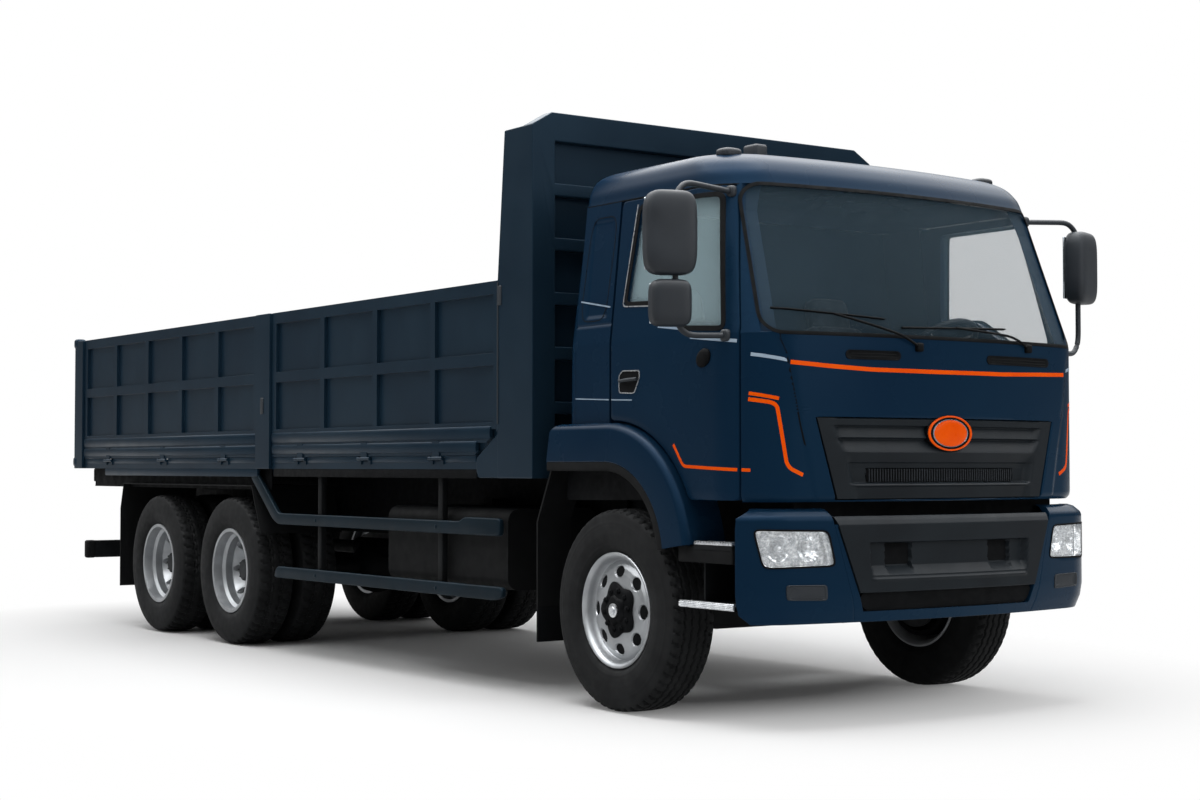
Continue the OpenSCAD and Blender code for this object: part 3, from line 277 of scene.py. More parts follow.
# the same surface on the other side of the truck
def mirrored(surfaces):
    return [(v * np.array([-1, 1, 1]), f) for v, f in surfaces]


# surfaces with their mirror images
def both(surfaces):
    return surfaces + mirrored(surfaces)


sides = ("left", "right")


# surfaces made on the left, taken to the named side
def onSide(name, surfaces):
    return surfaces if name == "left" else mirrored(surfaces)


# one mesh from surfaces: points and faces joined, doubles merged, edges sharp past an angle
def addPiece(name, surfaces, body, mat, replaced=(), angle=38):
    verts, loops, starts, totals, base, at = [], [], [], [], 0, 0
    for v, faceSets in surfaces:
        for f in faceSets:
            loops.append((f + base).ravel())
            totals.append(np.full(len(f), f.shape[1]))
            starts.append(at + np.arange(len(f)) * f.shape[1])
            at += f.size
        verts.append(v)
        base += len(v)
    verts, loops = np.concatenate(verts), np.concatenate(loops)
    starts, totals = np.concatenate(starts), np.concatenate(totals)
    mesh = bpy.data.meshes.new(name)
    mesh.vertices.add(len(verts))
    mesh.vertices.foreach_set("co", verts.astype(np.float32).ravel())
    mesh.loops.add(len(loops))
    mesh.loops.foreach_set("vertex_index", loops.astype(np.int32))
    mesh.polygons.add(len(starts))
    mesh.polygons.foreach_set("loop_start", starts.astype(np.int32))
    mesh.polygons.foreach_set("loop_total", totals.astype(np.int32))
    mesh.update(calc_edges=True)
    work = bmesh.new()
    work.from_mesh(mesh)
    bmesh.ops.remove_doubles(work, verts=work.verts, dist=0.00002)
    bmesh.ops.recalc_face_normals(work, faces=work.faces)
    work.to_mesh(mesh)
    work.free()
    mesh.shade_smooth()
    mesh.set_sharp_from_angle(angle=radians(angle))
    mesh.materials.append(mats[mat])
    piece = bpy.data.objects.new(name, mesh)
    scene.collection.objects.link(piece)
    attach(piece, body)
    if replaced:
        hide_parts(*replaced)
    return piece


# n points at even lengths along an open or closed line of points
def resample(line, n, closed=False):
    line = np.asarray(line, float)
    if closed:
        line = np.concatenate([line, line[:1]])
    run = np.concatenate([[0], np.cumsum(np.linalg.norm(np.diff(line, axis=0), axis=1))])
    at = np.linspace(0, run[-1], n + 1)[:-1] if closed else np.linspace(0, run[-1], n)
    return np.stack([np.interp(at, run, line[:, i]) for i in range(line.shape[1])], -1)


# rounds the corners of a closed outline by averaging neighbours
def rounded(loop, times):
    for _ in range(times):
        loop = (np.roll(loop, 1, 0) + 2 * loop + np.roll(loop, -1, 0)) / 4
    return loop


# a closed outline of n points through corners, rounded
def softLoop(corners, n, times):
    return rounded(resample(corners, n, True), times)


# a line that ends where it starts
def shut(loop):
    return np.concatenate([loop, loop[:1]])


# a closed profile (across, up) carried along a path of points with given across and up directions
def carry(path, across, up, profile, closed=False):
    points = path[:, None] + across[:, None] * profile[None, :, :1] + up[:, None] * profile[None, :, 1:]
    return sheetOf(points, closed, True, not closed)


# a round tube of radius r along a path of points, ends closed
def tube(path, r, sides=12, n=None):
    path = resample(path, n) if n else np.asarray(path, float)
    along = np.gradient(path, axis=0)
    along /= np.linalg.norm(along, axis=1)[:, None]
    flat = np.where(np.abs(along[:, 2:]) < 0.9, [[0, 0, 1.0]], [[0, 1.0, 0]])
    across = np.cross(along, flat)
    across /= np.linalg.norm(across, axis=1)[:, None]
    up = np.cross(across, along)
    turn = circle(sides)
    return carry(path, across, up, r * join(np.cos(turn), np.sin(turn)))


# a smooth line through a few points: averaged corners of a dense polyline
def softPath(points, n, times=6):
    path = resample(points, n)
    for _ in range(times):
        path[1:-1] = (path[:-2] + 2 * path[1:-1] + path[2:]) / 4
    return path


# a box with corners lo and hi, its edges rounded by r: a closed loop of arcs carried up with drawn-in ends
def softBox(lo, hi, r, steps=4):
    lo, hi = np.asarray(lo, float), np.asarray(hi, float)
    mid, half = (lo + hi) / 2, (hi - lo) / 2
    turn = np.linspace(0, np.pi / 2, steps)
    quarter = np.concatenate([turn + k * np.pi / 2 for k in range(4)])
    sx = np.repeat([1, -1, -1, 1], steps)
    sy = np.repeat([1, 1, -1, -1], steps)
    rise = np.linspace(-np.pi / 2, 0, steps)
    lift = np.concatenate([-half[2] + r + r * np.sin(rise), half[2] - r + r * np.sin(rise[::-1] * -1)])
    pull = np.concatenate([np.cos(rise), np.cos(rise[::-1])]) * r
    x = sx * (half[0] - r) + pull[:, None] * np.cos(quarter)
    y = sy * (half[1] - r) + pull[:, None] * np.sin(quarter)
    z = np.broadcast_to(lift[:, None], x.shape)
    return sheetOf(join(x, y, z) + mid, False, True, True)


cab = {
    "wall": 0.06,
    "bow": 5.0,
    # height, half width, front, back, corner radius; front and back count from the front axle
    "sections": np.array([
        [0.970, 1.185, -1.205, 0.460, 0.330], [1.900, 1.185, -1.205, 0.440, 0.330],
        [2.650, 1.105, -0.930, 0.405, 0.300], [2.730, 1.090, -0.890, 0.398, 0.300],
        [2.800, 1.045, -0.805, 0.360, 0.290], [2.842, 0.915, -0.645, 0.250, 0.270],
        [2.862, 0.625, -0.355, 0.040, 0.240]]),
}
bumper = {
    "wall": 0.045,
    "sections": np.array([
        [0.510, 1.225, -1.207, 0, 0.330], [0.575, 1.240, -1.232, 0, 0.330],
        [0.640, 1.245, -1.242, 0, 0.330], [1.005, 1.245, -1.242, 0, 0.330],
        [1.022, 1.240, -1.236, 0, 0.330], [1.052, 1.215, -1.205, 0, 0.330],
        [1.060, 1.195, -1.180, 0, 0.330]]),
    "end": -0.985,
    "level": 0.8,
    "fillet": 0.002,
    "split": [[0.615, 0.51], [0.775, 1.06]],
    "insert": [[-0.577, 0.562], [0.577, 0.562], [0.733, 0.976], [-0.733, 0.976]],
    "middleTop": 0.983,
    "lamp": [[0.745, 0.786], [1.112, 0.780], [1.148, 0.962], [0.785, 0.954]],
}


# half width, corner radius, corner centre and the bow's centre of a body at height z
def planAt(table, z):
    w, yf, r = (np.interp(z, table[:, 0], table[:, i]) for i in (1, 2, 4))
    cx = w - r
    by = yf + cab["bow"]
    cy = by - np.sqrt((cab["bow"] - r) ** 2 - cx ** 2)
    return w, r, cx, cy, by


# on the cab's side: x is straight behind the corner and round before it, at depth d
def sidePoint(y, z, d):
    w, r, cx, cy, _ = planAt(cab["sections"], z)
    x = np.where(y < cy, cx + np.sqrt(np.maximum((r - d) ** 2 - (y - cy) ** 2, 0)), w - d)
    return join(x, y + yAxle, z + 0 * x)


# on a front: s is the length along the plan from its middle, over the bow, the corner and the side
def wrapPoint(table, s, z, d):
    _, r, cx, cy, by = planAt(table, z)
    bow = cab["bow"]
    a = np.abs(s)
    turn = np.arctan2(cy - by, cx)
    first = bow * (turn + np.pi / 2)
    second = first - r * turn
    f1 = -np.pi / 2 + np.minimum(a, first) / bow
    f2 = turn + np.clip(a - first, 0, second - first) / r
    x = np.where(a < first, (bow - d) * np.cos(f1), cx + (r - d) * np.cos(f2))
    y = np.where(a < first, by + (bow - d) * np.sin(f1), cy + (r - d) * np.sin(f2))
    y = y + np.maximum(a - second, 0)
    return join(np.sign(s) * x, y + yAxle, z + 0 * x)


# length along the plan where the side distance is x: over the bow, then over the corner
def lengthAtX(table, x, z):
    _, r, cx, cy, by = planAt(table, z)
    bow = cab["bow"]
    edge = cx * bow / (bow - r)
    turn = np.arctan2(cy - by, cx)
    first = bow * (turn + np.pi / 2)
    a = np.abs(x)
    near = bow * np.arcsin(np.minimum(a, edge) / bow)
    far = first + r * (-np.arccos(np.clip((a - cx) / r, -1, 1)) - turn)
    return np.sign(x) * np.where(a < edge, near, far)


# length along the plan where the corner reaches y
def lengthAtY(table, y, z):
    _, r, cx, cy, by = planAt(table, z)
    turn = np.arctan2(cy - by, cx)
    return cab["bow"] * (turn + np.pi / 2) + r * (np.arcsin(np.clip((y - cy) / r, -1, 1)) - turn)


# length along the front where the side distance is x
def frontLength(x, z):
    return lengthAtX(cab["sections"], x, z)


# points of side distance and height as lengths along the front
def alongFront(points):
    x, z = np.asarray(points, float).T
    return join(frontLength(x, z), z)


# the same on the bumper, whose plan is taken at one level
def alongBumper(points):
    x, z = np.asarray(points, float).T
    return join(lengthAtX(bumper["sections"], x, bumper["level"]), z)


# a panel between two closed outlines, each ray from a centre crossing both: the outer skin from inner edge
# to outer edge with round edges, then the inner skin back again; point(a, b, depth) sets it on the body
def ringPanel(outer, inner, centre, point, wall, fillet, rows, press=None):
    centre = np.asarray(centre, float)
    rel = outer - centre
    span = np.linalg.norm(rel, axis=1)
    unit = rel / span[:, None]
    dense = resample(inner, 1600, True) - centre
    angle = np.arctan2(dense[:, 1], dense[:, 0])
    order = np.argsort(angle)
    near = np.interp(np.arctan2(rel[:, 1], rel[:, 0]), angle[order], np.linalg.norm(dense, axis=1)[order],
                     period=2 * np.pi)
    gap = span - near
    a = np.linspace(0, np.pi / 2, 4)
    start, sink = fillet * (1 - np.cos(a)), fillet * (1 - np.sin(a))
    t = np.linspace(0, 1, rows)[1:-1]
    front = np.concatenate([near + start[:, None], near + fillet + (gap - 2 * fillet) * t[:, None],
                            span - start[::-1][:, None]])
    depth = np.concatenate([sink, 0 * t, sink[::-1]])
    back = near + gap * np.linspace(1, 0, 7)[:, None]
    reach = np.concatenate([front, back])
    depth = np.concatenate([depth, np.full(7, wall)])[:, None] + 0 * reach
    p = centre[0] + unit[:, 0] * reach
    q = centre[1] + unit[:, 1] * reach
    if press:
        skin = (np.arange(len(reach)) < len(front))[:, None]
        depth = depth + skin * press(p, q)
    return sheetOf(point(p, q, depth), True, True)


# a closed outline through corners, each side with its own count of points
def outline(corners, counts):
    ends = corners[1:] + corners[:1]
    return np.concatenate([np.linspace(a, b, n, endpoint=False) for a, b, n in zip(corners, ends, counts)])


# a power of the size of a value, with its sign
def bent(v, power):
    return np.sign(v) * np.abs(v) ** power


# 0 before a, 1 after b, smooth between
def ease(v, a, b):
    t = np.clip((v - a) / (b - a), 0, 1)
    return t * t * (3 - 2 * t)


# a thin ribbon on a body: the middle line and width lie in the body's
# two parameters, the face stands proud by lift
def ribbon(line, width, point, lift=0.0012, n=60, soft=0):
    path = softPath(line, n, soft) if soft else resample(line, n)
    along = np.gradient(path, axis=0)
    along /= np.linalg.norm(along, axis=1)[:, None]
    across = join(-along[:, 1], along[:, 0])
    w = np.array([-0.5, -0.46, 0, 0.46, 0.5, 0.5, -0.5]) * width
    d = np.array([0, -1, -1, -1, 0, 0.8, 0.8]) * lift
    p = path[:, None] + across[:, None] * w[None, :, None]
    return sheetOf(point(p[..., 0], p[..., 1], d[None, :] + 0 * p[..., 0]), False, True, True)


frontSkin = {
    "shut": -0.958,  # where the front ends at the doors
    "low": 1.09,
    "high": 1.905,
    "grille": [[-0.715, 1.100], [0.715, 1.100], [0.828, 1.500], [-0.828, 1.500]],
    # the bonnet's side line as heights and side distances, how far it stands out and how its edge runs out
    "line": ([1.09, 1.34, 1.459, 1.711, 1.806, 1.863, 1.91],
             [0.825, 0.879, 0.911, 0.961, 0.98, 1.005, 1.01]),
    "proud": 0.007,
    "run": (-0.006, 0.012),
    "level": 1.5,
    "foot": (1.125, 0.035, 0.022),  # top, height and depth of the turned-in foot
    "fillet": 0.006,
    # width and lift of the dark line along the bonnet's step: a seam that also stands in for the step's
    # painted shadow
    "seam": (0.008, 0.0008),
}


# a point on the front at length s, height z and depth d
def frontWrap(s, z, d):
    return wrapPoint(cab["sections"], s, z, d)


# the middle of the front stands out a little inside a line that slants from the belt to the grille's foot
def bonnetEdge(z):
    return frontLength(np.interp(z, *frontSkin["line"]), frontSkin["level"])


# a step out inside the bonnet's line, smooth at its edge
def bonnetPress(s, z):
    return -frontSkin["proud"] * ease(bonnetEdge(z) - np.abs(s), *frontSkin["run"])


# the skin's foot also turns in
def frontPress(s, z):
    top, high, deep = frontSkin["foot"]
    return bonnetPress(s, z) + deep * np.clip((top - z) / high, 0, 1) ** 2


# the front with the bonnet's step
def frontProud(s, z, d):
    return wrapPoint(cab["sections"], s, z, d + bonnetPress(s, z))


# front: a ring panel from the doors to the grille's opening, and a dark seam along the bonnet's line that
# also stands in for the painted shadow of the bonnet's step
def makeFront():
    end = float(lengthAtY(cab["sections"], frontSkin["shut"], frontSkin["level"]))
    lo, hi = frontSkin["low"], frontSkin["high"]
    outer = outline([[-end, lo], [end, lo], [end, hi], [-end, hi]], [160, 44, 160, 44])
    hole = alongFront(frontSkin["grille"])
    panel = ringPanel(outer, hole, [0, 1.33], frontWrap, cab["wall"], frontSkin["fillet"], 38, frontPress)
    addPiece("frontSkin", [panel], "chassis", "cab_paint", ["cab_front"])
    z = np.linspace(hi, 1.36, 60)
    width, lift = frontSkin["seam"]
    seams = [ribbon(join(k * bonnetEdge(z), z), width, frontProud, lift, 90) for k in (-1, 1)]
    addPiece("frontSeamShadows", seams, "chassis", "seam_black")


makeFront()

door = {
    "window": [[-0.050, 2.095], [-0.330, 2.085], [-0.540, 1.945], [-0.868, 1.925], [-0.735, 2.600],
               [-0.110, 2.600]],
    "centre": [-0.43, 2.30],
    "arch": ([0.03, 0.785], 0.712),
    "front": -0.949,
    "rear": 0.046,
    "low": 1.098,
    "high": 2.642,
    "topFront": -0.782,
    "fillet": 0.006,
}


# the door's outline from its front foot over the arch and round
def doorOutline():
    (cy, cz), r = door["arch"]
    a0 = np.pi - np.arcsin((door["low"] - cz) / r)
    a1 = np.arccos((door["rear"] - cy) / r)
    a = np.linspace(a0, a1, 40)
    arch = join(cy + r * np.cos(a), cz + r * np.sin(a))
    line = np.concatenate([[[door["front"], 1.92], [door["front"], door["low"]]], arch,
                           [[door["rear"], door["high"]], [door["topFront"], door["high"]]]])
    return rounded(resample(line, 420, True), 5)


# doors: a ring panel from the door's outline to its window
def makeDoors():
    outer = doorOutline()
    hole = softLoop(door["window"], 300, 14)
    skin = ringPanel(outer, hole, door["centre"], sidePoint, cab["wall"], door["fillet"], 22)
    for name in sides:
        body = "door_" + name
        addPiece("doorSkin_" + name, onSide(name, [skin]), body, "cab_paint", [body])


makeDoors()

pane = {
    "inset": 0.014, "thick": 0.006, "round": 0.095,
    "z": (1.900, 2.650),  # foot and top of the windscreen, and its half width at each
    "half": (1.080, 1.012),
    "screenSeal": (0.019, 0.003),  # width and height of the rubber
    "doorSeal": (0.026, 0.0025),
    "doorInset": 0.026, "under": 0.012, "doorTop": 2.612,
    "doorFront": ([1.925, 2.600], [-0.880, -0.745]),  # heights and the edge's place at each
    "doorRear": ([2.095, 2.600], [-0.038, -0.098]),
}


# the front's surface, stood out with the bonnet only below the glass
def sealPoint(s, z, d):
    return wrapPoint(cab["sections"], s, z, d + bonnetPress(s, z) * ease(2.1 - z, 0, 0.1))


# windscreen: half width at each height, drawn in by the round corners, y from the bowed front
def makeScreen():
    (lo, hi), r = pane["z"], pane["round"]
    z = lo + (hi - lo) * (1 - np.cos(np.linspace(0, np.pi, 48))) / 2
    half = np.interp(z, pane["z"], pane["half"])
    near = np.minimum(z - lo, hi - z)
    half = half - np.where(near < r, r - np.sqrt(np.maximum(r * r - (r - near) ** 2, 0)), 0)
    a = np.linspace(-1, 1, 60)
    x = half[:, None] * a
    zz = z[:, None] + 0 * x
    s = frontLength(x, zz)
    faces = [frontWrap(s, zz, pane["inset"] + k * pane["thick"]) for k in (0, 1)]
    addPiece("screenGlass", [slab(*faces)], "chassis", "glass", ["windscreen"])
    edge = np.concatenate([join(x[:, -1], z), join(x[::-1, 0], z[::-1])])
    ring = shut(alongFront(resample(edge, 260, True)))
    width, lift = pane["screenSeal"]
    seal = ribbon(ring, width, sealPoint, lift, 262)
    addPiece("screenSeal", [seal], "chassis", "seam_black")


makeScreen()


# door window: sill height by share along, front and rear edges by height
def makeDoorGlass():
    sill = np.array(door["window"][3::-1])
    a = np.linspace(0, 1, 60)
    low = np.interp(sill[0, 0] + a * (sill[-1, 0] - sill[0, 0]), sill[:, 0], sill[:, 1]) - pane["under"]
    b = np.linspace(0, 1, 30)[:, None]
    z = low + b * (pane["doorTop"] - low)
    front = np.interp(z, *pane["doorFront"])
    rear = np.interp(z, *pane["doorRear"])
    y = front + (rear - front) * a
    glass = slab(*[sidePoint(y, z, pane["doorInset"] + k * pane["thick"]) for k in (0, 1)])
    width, lift = pane["doorSeal"]
    seal = ribbon(shut(softLoop(door["window"], 300, 14)), width, sidePoint, lift, 302)
    for name in sides:
        body = "door_" + name
        addPiece("doorGlass_" + name, onSide(name, [glass]), body, "door_glass", ["door_glass_" + name])
        addPiece("doorSeal_" + name, onSide(name, [seal]), body, "seam_black")


makeDoorGlass()
print("front, doors and glass made")

quarter = {
    "front": 0.06, "back": 0.372, "low": 1.478, "high": 2.652,
    "frame": ((0.20, 2.30), (0.095, 0.26), 0.006),  # middle, half sizes and depth of the pressed frame
    "line": (2.0, 0.008, 0.004),  # height, half width and depth of the pressed line
    "pillar": ([1.92, 2.65], [-0.958, -0.792]),  # heights and the pillar's rear edge at each
}
fender = {
    "centre": (0.03, 0.785), "r": 0.70, "rear": 0.56, "corner": 0.12, "x": (1.0, 1.245), "drop": 0.200,
    "edge": 0.04, "skin": 0.02,  # round of the outer edge, thickness
    "lip": (0.014, 0.022, 0.011, 0.026),  # set in and down from the foot, half width, half height
}


# a strip of the cab's side between two edges given by height: outer skin
# one way, inner skin back, closed at its ends
def sideStrip(z, front, back, n, press=None):
    a = np.linspace(0, 1, n)
    y = front[:, None] + (back - front)[:, None] * a
    zz = z[:, None] + 0 * y
    return slab(sidePoint(y, zz, press(y, zz) if press else 0), sidePoint(y, zz, cab["wall"]))


# a shallow frame pressed into the sleeper's side
def quarterPress(y, z):
    (my, mz), (hy, hz), deep = quarter["frame"]
    level, half, low = quarter["line"]
    d = np.maximum(np.abs(y - my) - hy, np.abs(z - mz) - hz)
    return deep * (1 - ease(d, -0.012, 0.0)) + low * ease(half - np.abs(z - level), 0, half)


# the arch at a depth under the fender's top: a round front, then a
# flat top to an end with a round upper corner
def archLine(d):
    (cy, cz), r, c = fender["centre"], fender["r"] - d, fender["corner"]
    a = np.radians(np.linspace(172, 90, 60))
    near = max(c - d, 0.0)
    end = fender["rear"] - c + np.sqrt(c * c - near * near)
    y = np.linspace(cy, end, 24)[1:]
    return np.concatenate([join(cy + r * np.cos(a), cz + r * np.sin(a)), join(y, 0 * y + cz + r)])


# a closed profile of side distance and depth carried along the arch
def archBand(profile):
    lines = np.stack([archLine(d) for x, d in profile], 1)
    x = np.broadcast_to(np.array([x for x, d in profile]), lines.shape[:2])
    return sheetOf(join(x, lines[..., 0] + yAxle, lines[..., 1]), False, True, True)


# fender: flat top, round outer edge and a deep side face over the tyre, with a rubber lip under it
def fenderProfile():
    (x0, x1), drop, r, skin = fender["x"], fender["drop"], fender["edge"], fender["skin"]
    q = np.linspace(0, np.pi / 2, 8)
    top = join(x1 - r + r * np.sin(q), r - r * np.cos(q))
    low = join(x1 - r - skin + r * np.sin(q[::-1]), r + skin - r * np.cos(q[::-1]))
    foot = [[x1, drop - 0.005], [x1 - 0.004, drop], [x1 - skin, drop], [x1 - skin, 0.07]]
    return np.concatenate([[[x0, 0]], top, foot, low, [[x0, skin]]])


# a closed oval with flattened sides
def lipProfile():
    inward, down, wide, high = fender["lip"]
    a = circle(20)
    return join(fender["x"][1] - inward + wide * bent(np.cos(a), 0.6),
                fender["drop"] + down + high * bent(np.sin(a), 0.6))


# sides: a strip behind the door, the pillar before it, and bands along the arch
def makeSides():
    z = np.linspace(quarter["low"], quarter["high"], 120)
    rear = sideStrip(z, 0 * z + quarter["front"], 0 * z + quarter["back"], 48, quarterPress)
    z = np.linspace(pane["z"][0], quarter["high"], 60)
    half = np.interp(z, pane["z"], pane["half"]) + 0.002
    near = frontWrap(frontLength(half, z), z, 0)[:, 1] - yAxle
    pillar = sideStrip(z, near, np.interp(z, *quarter["pillar"]), 16)
    skins, lips = [rear, pillar, archBand(fenderProfile())], [archBand(lipProfile())]
    for name in sides:
        addPiece("fenderLip_" + name, onSide(name, lips), "chassis", "rubber_black")
        addPiece("sideSkin_" + name, onSide(name, skins), "chassis", "cab_paint", ["cab_side_" + name])


makeSides()


# plan outlines of the roof's sections joined by a smooth curve upwards, the top drawn in to the middle
def roofSurface(d):
    table = cab["sections"][2:].copy()
    table[:, 1] -= d
    table[:, 2] += d
    table[:, 3] -= d
    table[1:, 0] -= d
    loops = []
    for z, w, yf, yb, r in table:
        cx, by = w - r, yf + cab["bow"]
        cy = by - np.sqrt((cab["bow"] - r) ** 2 - cx ** 2)
        turn = np.arctan2(cy - by, cx)
        f1, f2 = np.linspace(-np.pi / 2, turn, 40), np.linspace(turn, 0, 24)[1:]
        f3 = np.linspace(0, np.pi / 2, 10)
        half = np.concatenate([
            join(cab["bow"] * np.cos(f1), by + cab["bow"] * np.sin(f1)),
            join(cx + r * np.cos(f2), cy + r * np.sin(f2)),
            join(w + 0 * f3[:1], np.array([(cy + yb) / 2])),
            join(w - 0.06 + 0.06 * np.cos(f3), yb - 0.06 + 0.06 * np.sin(f3)),
            np.linspace([w - 0.06, yb], [0, yb], 14)[1:]])
        loop = np.concatenate([half, half[-2:0:-1] * [-1, 1]])
        loops.append(np.concatenate([loop, np.full((len(loop), 1), z)], 1))
    loops = np.array(loops)
    middle = loops[-1].mean(0)
    tops = [middle + (loops[-1] - middle) * k + [0, 0, 0.004 * (1 - k * k)] for k in (0.66, 0.33, 0.0)]
    loops = np.concatenate([loops, np.array(tops)])
    ghost = np.concatenate([2 * loops[:1] - loops[1:2], loops, loops[-1:]])
    out = []
    for k in range(len(loops) - 1):
        t = np.linspace(0, 1, 7, endpoint=k == len(loops) - 2)[:, None, None]
        p0, p1, p2, p3 = ghost[k:k + 4]
        out.append(0.5 * (2 * p1 + (p2 - p0) * t + (2 * p0 - 5 * p1 + 4 * p2 - p3) * t ** 2
                          + (3 * p1 - p0 - 3 * p2 + p3) * t ** 3))
    return np.concatenate(out) + [0, yAxle, 0]


# roof: the outer curve from the middle down, then the inner one back at the wall's depth
def makeRoof():
    outer, inner = roofSurface(0), roofSurface(cab["wall"])
    points = np.concatenate([outer[::-1], inner[:-1:2], inner[-1:]])
    addPiece("roofSkin", [sheetOf(points, False, True)], "chassis", "cab_paint", ["cab_roof"])


makeRoof()


# a point on the bumper at length s, height z and depth d
def bumperWrap(s, z, d):
    return wrapPoint(bumper["sections"], s, z, d)


# a rounded outline on the bumper through corners of side distance and height
def lampLoop(corners, n, times):
    return softLoop(alongBumper(corners), n, times)


# bumper: a ring panel round the insert, and on each side one round the lamp
def makeBumper():
    end = float(lengthAtY(bumper["sections"], bumper["end"], bumper["level"]))
    wall, fillet, top = bumper["wall"], bumper["fillet"], bumper["middleTop"]
    (a0, z0), (a1, z1) = bumper["split"]
    am = a0 + (a1 - a0) * (top - z0) / (z1 - z0)
    edge = outline([[-a0, z0], [a0, z0], [am, top], [-am, top]], [90, 44, 110, 44])
    middle = ringPanel(edge, alongBumper(bumper["insert"]), [0, 0.80], bumperWrap, wall, fillet, 12)
    rise = np.linspace(z0 + 0.045, z1, 12)
    tip = [[float(lengthAtY(bumper["sections"], bumper["end"], z)), z] for z in rise]
    corners = [[a0, z0], [end - 0.10, z0]] + tip + [[a1, z1]]
    edge = outline(corners, [70, 14] + [5] * 11 + [80, 44])
    wing = ringPanel(edge, lampLoop(bumper["lamp"], 200, 26), [0.97, 0.87], bumperWrap, wall, fillet, 14)
    skins = [middle] + both([wing])
    addPiece("bumperSkin", skins, "chassis", "cab_paint", ["front_bumper"], angle=50)


makeBumper()
print("cab skins made")

trim = {
    # middle lines in side distance and height, on the front; width of each ribbon
    "frontLine": ([[-0.961, 1.759], [-0.744, 1.744], [-0.510, 1.733], [-0.128, 1.731], [0.400, 1.733],
                   [0.937, 1.748]], 0.021),
    "cornerPale": ([[-1.114, 1.797], [-0.973, 1.769]], 0.017),
    "strokeHigh": ([[-1.120, 1.610], [-1.012, 1.585]], 0.017),
    "strokeLow": ([[-1.122, 1.582], [-1.040, 1.566], [-1.020, 1.550], [-0.979, 1.277], [-0.960, 1.250],
                   [-0.896, 1.221]], 0.019),
    # on the door, counted from the front axle
    "doorOrange": ([[-0.486, 1.370], [-0.556, 1.275], [-0.575, 1.262], [-0.942, 1.246]], 0.016),
    "doorPaleRear": ([[-0.352, 1.966], [-0.597, 1.937]], 0.017),
    "doorPaleFront": ([[-0.621, 1.896], [-0.942, 1.862]], 0.017),
    # the creases are drawn only as pale lines: painted highlights along their edges
    "doorCreaseHighlight": ([[0.042, 1.606], [-0.139, 1.600]], 0.006),
    "sideCreaseHighlight": ([[0.368, 1.620], [0.064, 1.607]], 0.006),
    "sidePale": ([[0.350, 2.136], [0.079, 2.091]], 0.008),
    "roofSeam": ([[0.366, 2.6465], [-0.785, 2.6465]], 0.005),
    # the door's stripe carried round the corner
    "foot": ([-0.962, -0.998], 1.245, [1.2452, 1.2436], 0.016),
    # middle, half sizes and lean of the sleeper's frame line
    "frame": ((0.212, 2.30), (0.115, 0.275), -0.02),
    "seamLift": 0.0008,
}


# a stripe's middle line on the front, with its width
def frontLine(key):
    line, width = trim[key]
    return alongFront(resample(line, 40)), width


# stripes and seams: ribbons along lines on the front, the sides and the doors; the pale crease lines are
# painted highlights
def makeTrim():
    orange = [ribbon(*frontLine("frontLine"), frontProud, n=120)]
    for key in ("strokeHigh", "strokeLow"):
        orange += both([ribbon(*frontLine(key), frontWrap, n=70, soft=2)])
    pale = both([ribbon(*frontLine("cornerPale"), frontWrap)])
    y, level, z, width = trim["foot"]
    orange += both([ribbon(join(lengthAtY(cab["sections"], np.array(y), level), z), width, frontWrap)])
    addPiece("frontStripes", orange, "chassis", "stripe_orange")
    for key in ("sideCreaseHighlight", "sidePale"):
        pale += both([ribbon(*trim[key], sidePoint)])
    a = np.linspace(0, 2 * np.pi, 81)
    (my, mz), (hy, hz), lean = trim["frame"]
    along, up = bent(np.cos(a), 0.4), bent(np.sin(a), 0.4)
    line, width = trim["roofSeam"]
    seams = [ribbon(line, width, sidePoint, trim["seamLift"])]
    ring = join(my + hy * along + lean * up, mz + hz * up)
    seams.append(ribbon(ring, width, sidePoint, trim["seamLift"], 140))
    addPiece("sideSeams", both(seams), "chassis", "seam_black")
    addPiece("cabPaleLinesAndHighlights", pale, "chassis", "stripe_pale")
    stripe = [ribbon(*trim["doorOrange"], sidePoint, soft=1)]
    lines = [ribbon(*trim[key], sidePoint) for key in ("doorPaleRear", "doorPaleFront", "doorCreaseHighlight")]
    for name in sides:
        body = "door_" + name
        addPiece("doorStripe_" + name, onSide(name, stripe), body, "stripe_orange")
        addPiece("doorPaleLinesAndHighlights_" + name, onSide(name, lines), body, "stripe_pale")


makeTrim()

handle = {
    "corners": [[-0.030, 1.640], [-0.028, 1.728], [-0.060, 1.752], [-0.205, 1.748], [-0.205, 1.712],
                [-0.160, 1.634]],
    "rim": (0.006, 0.003),  # width and height
    "chrome": ([[-0.095, 2.612], [-0.035, 2.085], [-0.335, 2.070]], 0.006, 0.0035),
    # start and run of y, z and depth, radius
    "grip": ((-0.045, -0.15), (1.700, 0.006), (-0.012, -0.006), 0.009),
    "repeater": ((-0.730, 1.788), (0.052, 0.046), -0.012),  # middle, half sizes, lean
}


# a dish on a body: an outline drawn in towards its centre row by row, depth by row
def dish(loop, shares, depths, point, wrapRows=False):
    middle = loop.mean(0)
    p = middle + (loop - middle)[None] * np.asarray(shares)[:, None, None]
    return sheetOf(point(p[..., 0], p[..., 1], np.asarray(depths)[:, None] + 0 * p[..., 0]), wrapRows, True)


